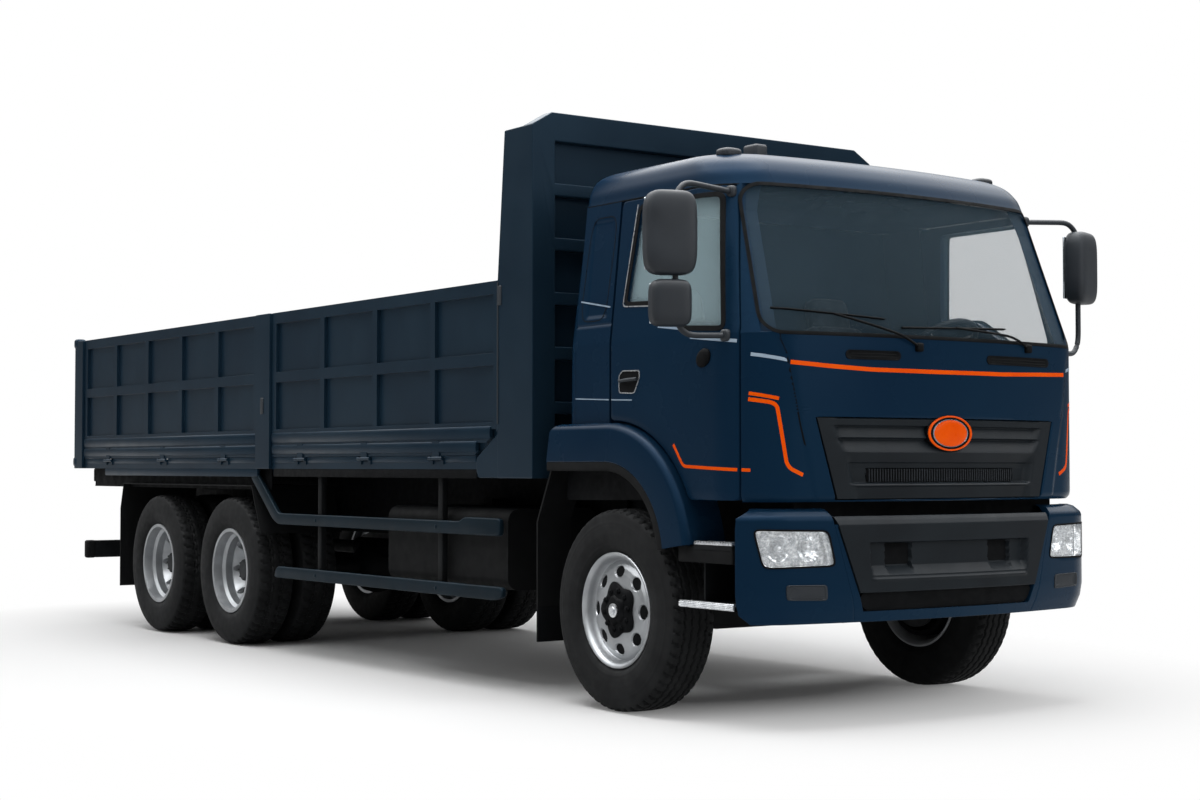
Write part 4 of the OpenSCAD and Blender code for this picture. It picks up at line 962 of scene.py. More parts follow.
# door fittings: a dished pocket with a ribbon as rim, a tube as grip, an oval dish as lamp
def makeHandles():
    loop = softLoop(handle["corners"], 90, 6)
    pocket = dish(loop, [1.0, 0.985, 0.9, 0.5, 0.0], [0.0005, -0.0012, -0.0004, -0.0002, -0.0002],
                  sidePoint)
    width, lift = handle["rim"]
    rim = ribbon(shut(loop), width, sidePoint, lift, 92)
    line, width, lift = handle["chrome"]
    chrome = ribbon(line, width, sidePoint, lift, 60, 2)
    (y, dy), (z, dz), (d, dd), r = handle["grip"]
    t = np.linspace(0, 1, 24)
    bar = tube(sidePoint(y + dy * t, z + dz * t, d + dd * np.sin(np.pi * t)), r, 12)
    (y, z), (wide, high), lean = handle["repeater"]
    a = circle(48)
    oval = join(y + wide * np.cos(a) + lean * np.sin(a), z + high * np.sin(a))
    lamp = dish(oval, [1, 1, 0.9, 0.6, 0.3, 0], [0.001, -0.006, -0.011, -0.014, -0.0155, -0.016], sidePoint)
    for name in sides:
        for piece, surfaces, look, slot in (
                ("handlePocket_", [pocket], "seam_black", "dark_plastic"),
                ("handleRim_", [rim, chrome], "bright_steel", "wheel_silver"),
                ("handleBar_", [bar], "dark_plastic", "dark_plastic"),
                ("sideRepeater_", [lamp], "seam_black", "dark_plastic")):
            addPiece(piece + name, onSide(name, surfaces), "door_" + name, look)


makeHandles()

vent = {"right": (-0.66, -0.325), "left": (0.27, 0.79), "z": 1.803, "half": 0.023, "fin": (0.005, 0.0032)}


# slots under the windscreen: a dark pocket with round ends and fins across it
def makeVents():
    pockets, fins = [], []
    z, h = vent["z"], vent["half"]
    width, lift = vent["fin"]
    a = np.linspace(-np.pi / 2, np.pi / 2, 12)
    for x0, x1 in (vent["right"], vent["left"]):
        loop = np.concatenate([join(x1 - h + h * np.cos(a), z + h * np.sin(a)),
                               join(x0 + h - h * np.cos(a), z - h * np.sin(a))])
        loop = alongFront(resample(loop, 120, True))
        pockets.append(dish(loop, [1.0, 0.995, 0.93, 0.9, 0.0], [0.004, -0.004, -0.0045, -0.002, -0.002],
                            frontProud))
        line = alongFront([[x0 + 0.03, z], [x1 - 0.03, z]])
        fins += [ribbon(line + [0, dz], width, frontProud, lift, 60) for dz in (-0.007, 0.007)]
    addPiece("ventPockets", pockets, "chassis", "seam_black")
    addPiece("ventFins", fins, "chassis", "rubber_black")


makeVents()

wiper = {  # blade ends, arm's root and where the arm meets the blade, in side distance and height
    "right": ([-1.02, 2.020], [-0.40, 1.985], [-0.21, 1.850], [-0.70, 2.000]),
    "left": ([-0.30, 1.945], [0.44, 1.968], [0.60, 1.872], [0.06, 1.958]),
}


# points of side distance and height set on the front, stood out by lift
def onFront(points, lift):
    s, z = alongFront(points).T
    return frontWrap(s, z, -lift + 0 * s)


# wiper: a rubber with a rail over it, a bent arm that rises between its ends, and a cap on the arm's root
def makeWipers():
    for name, (a, b, root, meet) in wiper.items():
        blade = resample([a, b], 40)
        surfaces = [tube(onFront(blade, lift), r, 8) for lift, r in ((0.004, 0.006), (0.014, 0.004))]
        arm = softPath([root, [(root[0] * 3 + meet[0]) / 4, root[1] + 0.055], meet], 36, 10)
        p = onFront(arm, 0.016 + 0.02 * np.sin(np.linspace(0, np.pi, 36)))
        surfaces.append(tube(p, 0.0065, 10))
        surfaces.append(softBox(p[0] - [0.022, 0.012, 0.022], p[0] + [0.022, 0.03, 0.022], 0.009))
        addPiece("wiper_" + name, surfaces, "chassis", "seam_black")


makeWipers()
print("trim, vents and wipers made")

headLamp = {
    "back": 0.042,  # depth of the bowl
    # side distance, height and radius of the reflectors
    "dishes": ((0.875, 0.872, 0.062), (1.035, 0.870, 0.062)),
    "hollow": 0.035,
    "flute": (0.0012, 0.021),  # depth and pitch of the flutes inside the lens
    "bulb": 0.05,
    "rim": (0.009, 0.003),
    "fog": [[0.790, 0.622], [1.012, 0.628], [1.016, 0.700], [0.794, 0.697]],
}


# lamp: a bright bowl with two round reflectors behind a fluted lens
def makeHeadLamps():
    loop = lampLoop(bumper["lamp"], 200, 26)
    middle = loop.mean(0)
    shares = np.concatenate([[1.0, 1.0, 0.985], np.linspace(0.95, 0, 16)])
    p = middle + (loop - middle)[None] * shares[:, None, None]
    back = headLamp["back"]
    depth = np.concatenate([[0.004, 0.03, back - 0.004], np.full(16, back)])[:, None] + 0 * p[..., 0]
    bulbs = []
    for x, z, r in headLamp["dishes"]:
        s = float(lengthAtX(bumper["sections"], x, z))
        far = np.hypot(p[..., 0] - s, p[..., 1] - z) / r
        depth = depth + headLamp["hollow"] * np.clip(1 - far ** 2, 0, 1)
        at = bumperWrap(s, z, headLamp["bulb"])
        bulbs.append(softBox(at - [0.016, 0.022, 0.016], at + [0.016, 0.02, 0.016], 0.013))
    bowl = sheetOf(bumperWrap(p[..., 0], p[..., 1], depth), False, True)
    shares = np.concatenate([[0.992], np.linspace(0.97, 0, 34)])
    p = middle + (loop - middle)[None] * shares[:, None, None]
    deep, pitch = headLamp["flute"]
    flute = deep * np.sin(p[..., 0] * 2 * np.pi / pitch) * ease(shares, 1.0, 0.9)[:, None]
    edge = 0.004 * ease(shares, 0.93, 1.0)[:, None]
    few = [0, 1, 2, 3, 5, 8, 12, 17, 23, 29, 34]
    outside = bumperWrap(p[few, :, 0], p[few, :, 1], -0.002 + edge[few] + 0 * flute[few])
    inside = bumperWrap(p[::-1, ..., 0], p[::-1, ..., 1], 0.005 + flute[::-1])
    lens = sheetOf(np.concatenate([outside, inside]), True, True)
    addPiece("lampBowls", both([bowl]), "chassis", "reflector")
    addPiece("lampBulbs", both(bulbs), "chassis", "bright_steel")
    addPiece("lampLenses", both([lens]), "chassis", "lamp_clear", ["front_lamps"])
    width, lift = headLamp["rim"]
    rim = ribbon(shut(loop), width, bumperWrap, lift, 202)
    addPiece("lampRims", both([rim]), "chassis", "seam_black")
    fog = lampLoop(headLamp["fog"], 120, 10)
    cover = dish(fog, [1.0, 0.99, 0.95, 0.9, 0.86, 0.5, 0.0],
                 [0.001, -0.004, -0.005, -0.0045, -0.001, -0.002, -0.002], bumperWrap)
    addPiece("fogCovers", both([cover]), "chassis", "dark_plastic")


makeHeadLamps()

# a dark board behind the gap between bumper and grille: low and high corners
nose = ([-0.90, yAxle - 1.06, 0.93], [0.90, yAxle - 1.04, 1.125])
addPiece("noseShade", [softBox(*nose, 0.006)], "chassis", "seam_black")
print("lamps made")

rubber = {
    # reach: where the cross slots start, from the middle; fine: from where side rows are kept close, across
    "front": dict(rows=112, n=330, pitches=55, zig=0.0045, grooves=(-0.066, -0.023, 0.023, 0.066),
                  reach=(0.082, 0.09), fine=0.0),
    "rear": dict(rows=84, n=192, pitches=48, zig=0.004, grooves=(-0.045, 0.045), reach=(0.012, 0.02),
                 fine=1.0),
    # radius and side distance of the section
    "side": [[0.2868, 0.1117], [0.3005, 0.1117], [0.3100, 0.1190], [0.3185, 0.1290], [0.3400, 0.1370],
             [0.3585, 0.1410], [0.3935, 0.1450], [0.4335, 0.1420]],
    "shoulder": (0.48, 0.093, 0.04),
    "crown": [[0.5207, 0.07], [0.522, 0.035], [0.522, 0.0]],
    "deep": 0.012,
    "ribs": (0.335, 0.452), "rib": 0.0016,  # raised lines round the side wall
}


# tyre: bead, bulged side, round shoulder and crown as one closed section turned about the axle; zigzag
# grooves run round the tread, and slots cross its shoulders, or the whole tread of a drive tyre
def tyreSurface(kind, x, y):
    look = rubber[kind]
    a = np.radians(np.linspace(75, 15, 9))
    mid, off, bend = rubber["shoulder"]
    shoulder = join(mid + bend * np.cos(a), off + bend * np.sin(a))
    half = np.concatenate([rubber["side"], shoulder, rubber["crown"]])
    line = resample(np.concatenate([half, half[-2::-1] * [1, -1]]), look["rows"])
    line[2:-2] = (line[1:-3] + 2 * line[2:-2] + line[3:-1]) / 4
    fine = (line[:, 0] > 0.47) | (line[:, 1] > look["fine"])
    line = line[fine | (np.arange(len(line)) % 2 == 0)]
    t = circle(look["n"])
    r = line[:, :1] + 0 * t
    w = line[:, 1:] + 0 * t
    turn = t * look["pitches"] / (2 * np.pi)
    zig = look["zig"] * (4 * np.abs(turn % 1.0 - 0.5) - 1)
    cut = np.zeros_like(r)
    for g in look["grooves"]:
        cut = np.maximum(cut, 1 - ease(np.abs(w - g - zig), 0.003, 0.0065))
    slot = 1 - ease(np.abs((turn + w * 6) % 1.0 - 0.5), 0.10, 0.20)
    cut = np.maximum(cut, slot * ease(np.abs(w), *look["reach"]))
    side = sum(rubber["rib"] * (1 - ease(np.abs(r - rib), 0.003, 0.006)) for rib in rubber["ribs"])
    r = r - rubber["deep"] * cut * ease(r, 0.500, 0.512)
    w = w + np.sign(w) * side * (np.abs(w) > 0.12)
    points = join(x + w, y + r * np.cos(t), axleZ + r * np.sin(t))
    return sheetOf(points, True, True)


# points on a ring about an axle
def ringPlaces(count, radius, x, y, phase=0.0):
    a = phase + 2 * np.pi * np.arange(count) / count
    return join(x + 0 * a, y + radius * np.cos(a), axleZ + radius * np.sin(a))


# a profile of radius and reach turned about X, as a surface at the origin
def turned(profile, n=32, lobes=0, swell=0.0):
    profile = np.asarray(profile, float)
    a = circle(n)
    r = profile[:, :1] * (1 + swell * np.cos(lobes * a) * (profile[:, :1] > 0.03))
    return sheetOf(join(profile[:, 1:] + 0 * a, r * np.cos(a), r * np.sin(a)), False, True)


hub = {
    "nut": [[0.0, 0.0], [0.0165, 0.0], [0.0165, 0.018], [0.0125, 0.024], [0.009, 0.024], [0.009, 0.034],
            [0.0, 0.035]],
    "frontCap": [[0.0, 0.090], [0.134, 0.090], [0.136, 0.104], [0.126, 0.112], [0.096, 0.116],
                 [0.074, 0.118], [0.068, 0.126], [0.058, 0.130], [0.0, 0.131]],
    # brake drum inside the rim: a real part, made black so that it also stands in for the painted shade
    # inside the wheel
    "drum": [[0.06, 0.02], [0.222, 0.02], [0.236, 0.008], [0.238, -0.100], [0.232, -0.110], [0.208, -0.110],
             [0.205, -0.01], [0.06, -0.01], [0.06, 0.02]],
    "rim": [[0.258, 0.062], [0.263, 0.066], [0.268, 0.085], [0.272, 0.105], [0.278, 0.116], [0.288, 0.122],
            [0.2955, 0.1235], [0.2985, 0.1205], [0.2985, 0.114], [0.2862, 0.1117], [0.281, 0.06],
            [0.271, 0.0], [0.266, -0.05], [0.279, -0.10], [0.2862, -0.1117], [0.2985, -0.114],
            [0.2985, -0.1205], [0.290, -0.1235], [0.280, -0.118], [0.268, -0.10],
            [0.256, -0.05], [0.252, 0.0], [0.246, 0.04], [0.235, 0.055]],
    "face": [[0.0, 0.098], [0.165, 0.098], [0.190, 0.0965], [0.218, 0.089], [0.240, 0.076], [0.252, 0.066],
             [0.258, 0.062]],
    "holes": (8, 0.199, 0.028, 0.037),  # count, ring radius, half height, half width of the hand holes
    "rearCap": [[0.077, -0.078], [0.077, 0.008], [0.073, 0.016], [0.062, 0.018], [0.058, 0.024],
                [0.0, 0.025]],
}


# front wheel: one section through face, rim and back turned about the axle, sunk where the hand holes lie
def frontDisc():
    face, rim = np.array(hub["face"]), np.array(hub["rim"])
    r = np.concatenate([[0.0], np.linspace(0.10, 0.258, 54)])
    out = join(r, np.interp(r, face[:, 0], face[:, 1]))
    back = out[::-1][6::3] - [0, 0.014]
    section = np.concatenate([out[:-1], rim[:-1], back])
    a = circle(192)
    count, ring, high, wide = hub["holes"]
    step = 2 * np.pi / count
    off = (a + step / 2) % step - step / 2
    far = np.hypot((section[:, :1] - ring) / high, ring * off / wide)
    plate = np.zeros(len(section))
    plate[:len(out) - 1] = 1
    plate[-len(back):] = 1
    sink = 0.016 * (1 - ease(far, 0.94, 1.10)) * plate[:, None]
    r = section[:, :1] + 0 * a
    points = join(tyreX + section[:, 1:] - sink, yAxle + r * np.cos(a), axleZ + r * np.sin(a))
    disc = sheetOf(points, False, True)
    t = circle(28)
    # black dishes in the hand holes stand in for the painted shade seen through them
    holes = []
    for k in range(count):
        rr = ring + high * np.array([0.98, 0.5, 0.0])[:, None] * np.sin(t)
        aa = k * step + wide * np.array([0.98, 0.5, 0.0])[:, None] * np.cos(t) / ring
        x = tyreX + np.interp(rr, face[:, 0], face[:, 1]) - 0.008
        holes.append(sheetOf(join(x, yAxle + rr * np.cos(aa), axleZ + rr * np.sin(aa)), False, True))
    return disc, holes


# wheels: sections turned about the axles, and nuts at even angles on rings
def makeWheels():
    middle, nut = [[tyreX, yAxle, axleZ]], np.array(hub["nut"])
    tread = [tyreSurface("front", tyreX, yAxle)]
    disc, holes = frontDisc()
    caps = copies(turned(hub["drum"], 72), middle) + copies(turned(hub["frontCap"], 120, 5, 0.11), middle)
    caps += copies(turned(nut * [1.0, 0.5], 6), ringPlaces(10, 0.100, tyreX + 0.112, yAxle, 0.5))
    knob = copies(turned(nut * [2.2, 0.5], 24), [[tyreX + 0.129, yAxle, axleZ]])
    for name in sides:
        body = "wheel_front_" + name
        addPiece("frontTread_" + name, onSide(name, tread), body, "tyre", ["front_tyre_" + name],
                 30)
        addPiece("frontDisc_" + name, onSide(name, [disc]), body, "wheel_silver", ["front_rim_" + name])
        addPiece("frontHandHoleShades_" + name, onSide(name, holes), body, "seam_black")
        addPiece("frontHub_" + name, onSide(name, caps), body, "seam_black")
        addPiece("frontHubNut_" + name, onSide(name, knob), body, "bright_steel")
        for n, y in (("1_", yRear1), ("2_", yRear2)):
            body, end = "wheel_rear_" + n + name, n + name
            pair = [tyreSurface("rear", x, y) for x in (tyreX, tyreX - twin)]
            addPiece("rearTread_" + end, onSide(name, pair), body, "tyre", ["rear_tyres_" + end],
                     30)
            nuts = copies(turned(nut, 6), ringPlaces(10, 0.137, tyreX - twin / 2, y))
            addPiece("rearNuts_" + end, onSide(name, nuts), body, "cast_steel")
            cap = copies(turned(hub["rearCap"], 40), [[tyreX, y, axleZ]])
            cap += copies(turned(nut * [0.5, 0.4], 6), ringPlaces(8, 0.066, tyreX + 0.014, y))
            addPiece("rearHub_" + end, onSide(name, cap), body, "cast_steel")


makeWheels()
print("wheels made")

mirrorHead = {  # low, high, half width, half depth
    "large": (2.170, 2.575, 0.128, 0.0625), "small": (1.925, 2.150, 0.100, 0.0575),
    "left": ("large",), "right": ("large", "small"),
    "x": 1.450, "y": -0.8075, "yaw": radians(-20), "arm": 0.0145,
}


# rounded block: powers of the cosines and sines of two angles
def block(mid, half, power, rows=28, cols=44):
    u = np.linspace(-np.pi / 2, np.pi / 2, rows)[:, None]
    v = circle(cols)
    flat = bent(np.cos(u), power)
    p = join(flat * bent(np.cos(v), power), flat * bent(np.sin(v), power), bent(np.sin(u), power))
    return sheetOf(np.asarray(mid) + p * np.asarray(half), False, True)


# turned about an upright line through a place
def swung(surface, place, angle):
    c, s = np.cos(angle), np.sin(angle)
    rel = surface[0] - place
    return join(c * rel[:, 0] + s * rel[:, 1], c * rel[:, 1] - s * rel[:, 0], rel[:, 2]) + place, surface[1]


# mirrors: rounded blocks and flat plates swung about an upright line, on a bent tube
def makeMirrors():
    x, y = mirrorHead["x"], yAxle + mirrorHead["y"]
    for name in sides:
        heads, plates = [], []
        for key in mirrorHead[name]:
            lo, hi, half, deep = mirrorHead[key]
            mid = np.array([x, y, (lo + hi) / 2])
            head = block(mid, [half, deep, (hi - lo) / 2], 0.42)
            plate = softBox(mid + [-half * 0.86, deep - 0.008, -(hi - lo) * 0.43],
                            mid + [half * 0.86, deep + 0.002, (hi - lo) * 0.43], 0.004)
            heads.append(swung(head, mid, mirrorHead["yaw"]))
            plates.append(swung(plate, mid, mirrorHead["yaw"]))
        post = x - 0.03
        foot = sidePoint(np.array([-0.762, -0.880]), np.array([2.608, 1.890]), np.array([0.004, 0.004]))
        path = softPath([foot[0], [post - 0.06, yAxle - 0.80, 2.625], [post, yAxle - 0.81, 2.56],
                         [post, yAxle - 0.81, 1.95], [post - 0.05, yAxle - 0.82, 1.885], foot[1]], 90, 12)
        arms = [tube(path, mirrorHead["arm"], 14)]
        arms += [block(p, [0.02, 0.03, 0.03], 0.6, 12, 20) for p in foot]
        body, plastic = "door_" + name, "dark_plastic"
        addPiece("mirrorHeads_" + name, onSide(name, heads), body, plastic, ["mirror_" + name])
        addPiece("mirrorPlates_" + name, onSide(name, plates), body, "mirror_glass")
        addPiece("mirrorArms_" + name, onSide(name, arms), body, plastic)


makeMirrors()
print("mirrors made")

grille = {
    "half": [[1.105, 0.705], [1.496, 0.819]],
    # height to depth of the bars between the ends
    "bars": np.array([[1.105, 0.010], [1.160, 0.006], [1.168, -0.001], [1.176, 0.003], [1.184, 0.022],
                      [1.252, 0.022], [1.276, 0.020], [1.282, 0.014], [1.330, 0.0], [1.338, 0.002],
                      [1.394, 0.019], [1.402, 0.003], [1.456, 0.016], [1.462, 0.001], [1.490, 0.0],
                      [1.496, 0.004]]),
    # heights, and where the bars end at each
    "ends": ([1.105, 1.30, 1.39, 1.50], [0.62, 0.665, 0.715, 0.75]),
    "slot": (0.51, 1.186, 1.250),  # half width, foot and top
    "fins": 60, "fin": 0.0032, "finDepth": 0.034,
    "back": 0.062, "z": (1.105, 1.496),
}


# a closed plate on a body between two heights: depth is given by side
# distance and height, the back lies flat
def reliefPlate(sizes, depth, point, table, rows, cols):
    z = np.linspace(*sizes["z"], rows)[:, None]
    x = np.interp(z, *np.array(sizes["half"]).T) * np.linspace(-1, 1, cols)
    z = z + 0 * x
    s = lengthAtX(table, x, z)
    keep = np.linspace(cols - 1, 0, 14).round().astype(int)
    rear = point(s[:, keep], z[:, keep], sizes["back"] + 0 * x[:, keep])
    return sheetOf(np.concatenate([point(s, z, depth(x, z)), rear], 1), False, True, True)


# depth by height from the table of bars, run out towards the ends, and more in the slot
def grilleDepth(x, z):
    bars = np.interp(z, grille["bars"][:, 0], grille["bars"][:, 1])
    end = np.interp(z, *grille["ends"])
    taper = 1 - ease(np.abs(x), end - 0.05, end)
    half, z0, z1 = grille["slot"]
    slot = 1 - ease(np.abs(x), half - 0.004, half + 0.004)
    slot = slot * ease(z, z0 - 0.004, z0) * (1 - ease(z, z1, z1 + 0.004))
    return 0.004 + 1.55 * bars * taper + 0.026 * slot


# grille: a relief plate, with a black dish as painted shade and upright tubes in its slot
def makeGrille():
    plate = reliefPlate(grille, grilleDepth, frontProud, cab["sections"], 140, 150)
    addPiece("grillePlate", [plate], "chassis", "grille_grey", ["grille"], 30)
    s, z0, z1 = grille["slot"]
    loop = outline([[-s, z0], [s, z0], [s, z1], [-s, z1]], [80, 8, 80, 8])
    pocket = dish(loop, [1.0, 0.998, 0.5, 0.0], [0.045, 0.050, 0.050, 0.050], frontProud)
    addPiece("grilleSlotShade", [pocket], "chassis", "seam_black")
    fins = []
    for x in np.linspace(-s + 0.012, s - 0.012, grille["fins"]):
        line = resample([[float(frontLength(x, 1.2)), z] for z in (z0, z1)], 8)
        fins.append(tube(frontProud(*line.T, np.full(8, grille["finDepth"])), grille["fin"], 8))
    addPiece("grilleFins", fins, "chassis", "dark_plastic")


makeGrille()

badge = {
    "half": (0.153, 0.0885), "z": 1.427,
    # name, look, shares of the oval and depths, row by row
    "rings": (
        ("badgeRing", "badge_orange", [1.0, 0.99, 0.945, 0.90, 0.89],
         [0.002, -0.006, -0.008, -0.006, 0.002]),
        ("badgeGap", "seam_black", [1.03, 1.02, 0.9, 0.79, 0.77], [0.045, -0.001, -0.0035, -0.0035, 0.02]),
        ("badgeLine", "stripe_pale", [0.785, 0.78, 0.768, 0.755, 0.75],
         [0.02, -0.007, -0.009, -0.007, 0.02]),
        ("badgeDome", "badge_orange", [0.755, 0.75, 0.72, 0.55, 0.3, 0.0],
         [0.02, -0.006, -0.009, -0.012, -0.0135, -0.014])),
}


# blank oval: rings and a dome, each an oval drawn in row by row
def makeBadge():
    a = circle(120)
    oval = join(badge["half"][0] * np.cos(a), badge["z"] + badge["half"][1] * np.sin(a))
    for name, look, shares, depths in badge["rings"]:
        replaced = ["badge"] if name == "badgeRing" else ()
        addPiece(name, [dish(oval, shares, depths, frontProud)], "chassis", look, replaced)


makeBadge()

insert = {
    "z": (0.566, 1.021), "half": [[0.566, 0.574], [1.021, 0.745]], "back": 0.07,
    "slot": (0.547, 0.735, 0.895),  # half width, foot and top
    "wells": (0.275, 0.430), "wellZ": (0.785, 0.888),
    "foot": 0.655,
    # outline of the black dish at the foot, painted shade in the intake
    "darkShade": [[-0.612, 0.653], [-0.578, 0.563], [0.578, 0.563], [0.612, 0.653]],
}


# the bumper's grey middle: proud face, bevelled top, a framed slot
# with a block between two wells, a sunk foot
def insertDepth(x, z):
    half, z0, z1 = insert["slot"]
    lean = 0.35 * (z - z0)
    side = 1 - ease(np.abs(x) - lean * 0.2, half - 0.03, half)
    slot = side * np.clip((z - z0) / 0.045, 0, 1) * (1 - ease(z, z1 - 0.006, z1))
    w0, w1 = insert["wells"]
    well = ease(np.abs(x), w0 - 0.006, w0) * (1 - ease(np.abs(x), w1, w1 + 0.006))
    lip = 0.008 * (1 - ease(np.abs(z - z0 + 0.02), 0.0, 0.014)) * side
    foot = 1 - ease(z, insert["foot"] - 0.006, insert["foot"])
    top = np.clip((z - 0.982) / 0.039, 0, 1)
    return -0.008 + 0.022 * top + slot * (0.034 + 0.022 * well) - lip + 0.034 * foot


# insert: a relief plate, with black dishes in its wells and foot as painted shade
def makeInsert():
    plate = reliefPlate(insert, insertDepth, bumperWrap, bumper["sections"], 125, 150)
    addPiece("insertPlate", [plate], "chassis", "grille_grey", ["bumper_insert"], 30)
    (w0, w1), (z0, z1) = insert["wells"], insert["wellZ"]
    darkShade = []
    for k in (-1, 1):
        loop = [[k * w0, z0], [k * w1, z0], [k * (w1 + 0.01), z1], [k * w0, z1]]
        loop = alongBumper(softLoop(loop, 80, 3))
        darkShade.append(dish(loop, [1.0, 0.98, 0.5, 0.0], [0.05, 0.043, 0.043, 0.043], bumperWrap))
    loop = alongBumper(softLoop(insert["darkShade"], 160, 8))
    darkShade.append(dish(loop, [1.0, 0.99, 0.5, 0.0], [0.03, 0.012, 0.014, 0.014], bumperWrap))
    addPiece("insertWellShades", darkShade, "chassis", "seam_black")


makeInsert()
print("grille, badge and bumper insert made")

bed = {
    "beads": ((1.4525, 0.036), (1.3740, 0.033)),  # height and half height
    "face": 1.2315, "proud": 0.0105, "behind": 1.212,
    "step": 0.012,  # from a board's end to its beads
    "frontSteps": (0.085, 0.235), "frontFoot": 0.242, "slit": 0.008,
    "hinge": 0.088,  # half the opening of the ledge at a hinge
    # side distance and y, heights, half sizes
    "knobs": ((1.213, 4.437), (1.30, 2.285), [0.043, 0.042, 0.042]),
    "rod": (1.2505, -0.018, 1.50, 2.29, 0.006),  # side distance, y from the board, foot, top, radius
}


# half-round mouldings along the foot of a sideboard: half an ellipse before a flat back, carried along Y
def beadBar(z, high, y0, y1):
    a = np.linspace(-np.pi / 2, np.pi / 2, 14)
    x = bed["face"] + bed["proud"] * np.cos(a) ** 0.7
    flat = [[bed["behind"], z + high - 0.012], [bed["behind"], z - high + 0.012]]
    profile = np.concatenate([join(x, z + high * np.sin(a)), flat])
    y = np.array([y0, y0 + 0.004, y1 - 0.004, y1])
    draw = np.array([0.9, 1.0, 1.0, 0.9])[:, None]
    mid = np.array([bed["face"] - 0.008, z])
    p = mid + (profile - mid)[None] * draw[..., None]
    return sheetOf(join(p[..., 0], np.broadcast_to(y[:, None], p.shape[:2]), p[..., 1]), False, True, True)


# load body: beads along the boards, ledges between the hinges, latches on the posts
def makeBed():
    for name in sides:
        spans = {}
        for part in ("front", "rear"):
            node = "board_%s_%s" % (part, name)
            lo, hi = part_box(node)
            y0, y1 = float(lo[1]), float(hi[1])
            spans[part] = (y0, y1)
            steps = bed["frontSteps"] if part == "front" else (bed["step"], bed["step"])
            bars = [beadBar(z, high, y0 + k, y1 - bed["step"]) for (z, high), k in zip(bed["beads"], steps)]
            addPiece("boardBeads_%s_%s" % (part, name), onSide(name, bars), node, "bed_paint")
        ledges, shadeSkirts = [], []
        for part, (y0, y1) in spans.items():
            foot = y0 + bed["frontFoot"] if part == "front" else y0 - bed["slit"]
            hinges = [foot + (y1 + bed["slit"] - foot) * (i + 0.5) / 3 for i in range(3)]
            ends = [foot + 0.01] + [h + k * bed["hinge"] for h in hinges for k in (-1, 1)] + [y1]
            for y2, y3 in zip(ends[::2], ends[1::2]):
                ledges.append(softBox([1.188, y2, 1.285], [1.2285, y3, 1.3245], 0.004))
            if part == "front":
                # a black strip under the front rail stands in for the painted shade under the deck
                shadeSkirts.append(softBox([1.214, foot + 0.01, 1.192], [1.2235, y1 - 0.01, 1.248], 0.003))
            else:
                ledges.append(softBox([1.200, foot + 0.02, 1.190], [1.2235, y1 - 0.45, 1.247], 0.004))
        place, levels, half = bed["knobs"]
        ledges += [block([*place, z], half, 0.5, 20, 32) for z in levels]
        addPiece("deckShadeSkirts_" + name, onSide(name, shadeSkirts), "chassis", "seam_black")
        addPiece("deckLedges_" + name, onSide(name, ledges), "chassis", "bed_paint")
        start, y = spans["front"][0], (spans["front"][1] + spans["rear"][0]) / 2
        latches = [softBox([1.246, y - 0.022, 1.62], [1.256, y + 0.022, 1.73], 0.004),
                   softBox([1.246, start - 0.055, 2.16], [1.256, start - 0.020, 2.27], 0.004)]
        x, off, low, high, r = bed["rod"]
        latches.append(tube(np.linspace([x, start + off, low], [x, start + off, high], 30), r, 10))
        addPiece("postLatches_" + name, onSide(name, latches), "chassis", "dark_plastic")


makeBed()

under = {
    "guardX": (1.187, 1.219), "y": (-2.155, 0.675), "up": (0.870, 0.945), "low": (0.510, 0.586),
    "rise": (1.085, 1.245),  # y and height of the upper rail's rear end
    "round": 0.008,
    "hangers": (-1.475, 0.075), "hangerWide": 0.05,
    "bolt": [[0.0, 0.0], [0.012, 0.0], [0.012, 0.004], [0.008, 0.006], [0.0, 0.006]],
    "boltY": (-1.45, 0.10), "boltZ": (0.548, 0.9075),
}


# a flat outline in y and z given a thickness across X, its edges rounded by drawing both faces in
def plateAcross(corners, x0, x1, r, n=160, soft=2):
    loop = rounded(resample(corners, n, True), soft)
    along = np.roll(loop, -1, 0) - np.roll(loop, 1, 0)
    along /= np.linalg.norm(along, axis=1)[:, None]
    area = np.sum(loop[:, 0] * np.roll(loop[:, 1], -1) - np.roll(loop[:, 0], -1) * loop[:, 1])
    inward = join(-along[:, 1], along[:, 0]) * np.sign(area)
    a = np.linspace(0, np.pi / 2, 4)
    x = np.concatenate([x0 + r * (1 - np.cos(a)), x1 - r * (1 - np.cos(a[::-1]))])
    draw = np.concatenate([r * (1 - np.sin(a)), r * (1 - np.sin(a[::-1]))])
    p = loop[None] + inward[None] * draw[:, None, None]
    x = np.broadcast_to(x[:, None, None], p.shape[:2] + (1,))
    return sheetOf(np.concatenate([x, p], -1), False, True, True)


# guards: two flat outlines given a thickness, boxes as hangers, turned bolts
def makeGuards():
    (x0, x1), (g0, g1) = under["guardX"], under["y"]
    (u0, u1), (l0, l1), (ry, rz) = under["up"], under["low"], under["rise"]
    high = [[g0, u0], [g1 - 0.02, u0], [g1 + 0.06, u0 + 0.03], [ry, rz - 0.06], [ry, rz], [ry - 0.06, rz],
            [g1 - 0.02, u1], [g0 + 0.43, u1], [g0 + 0.40, u1 + 0.025], [g0, u1 + 0.025]]
    low = [[g0 - 0.03, l0 + 0.02], [g0 + 0.06, l0], [g1 + 0.04, l0], [g1, l1], [g0 - 0.03, l1]]
    rails = [plateAcross(line, x0, x1, under["round"], n, 2) for line, n in ((high, 340), (low, 280))]
    addPiece("guardRails", both(rails), "chassis", "guard_grey", ["side_guards"])
    wide = under["hangerWide"]
    posts = [softBox([x0 - 0.04, y, l0 + 0.01], [x0, y + wide, 1.25], 0.006) for y in under["hangers"]]
    places = [[x1 - 0.002, y, z] for y in under["boltY"] for z in under["boltZ"]]
    bolts = copies(turned(under["bolt"], 12), places)
    addPiece("guardHangers", both(posts), "chassis", "chassis_black")
    addPiece("guardBolts", both(bolts), "chassis", "guard_grey")


makeGuards()

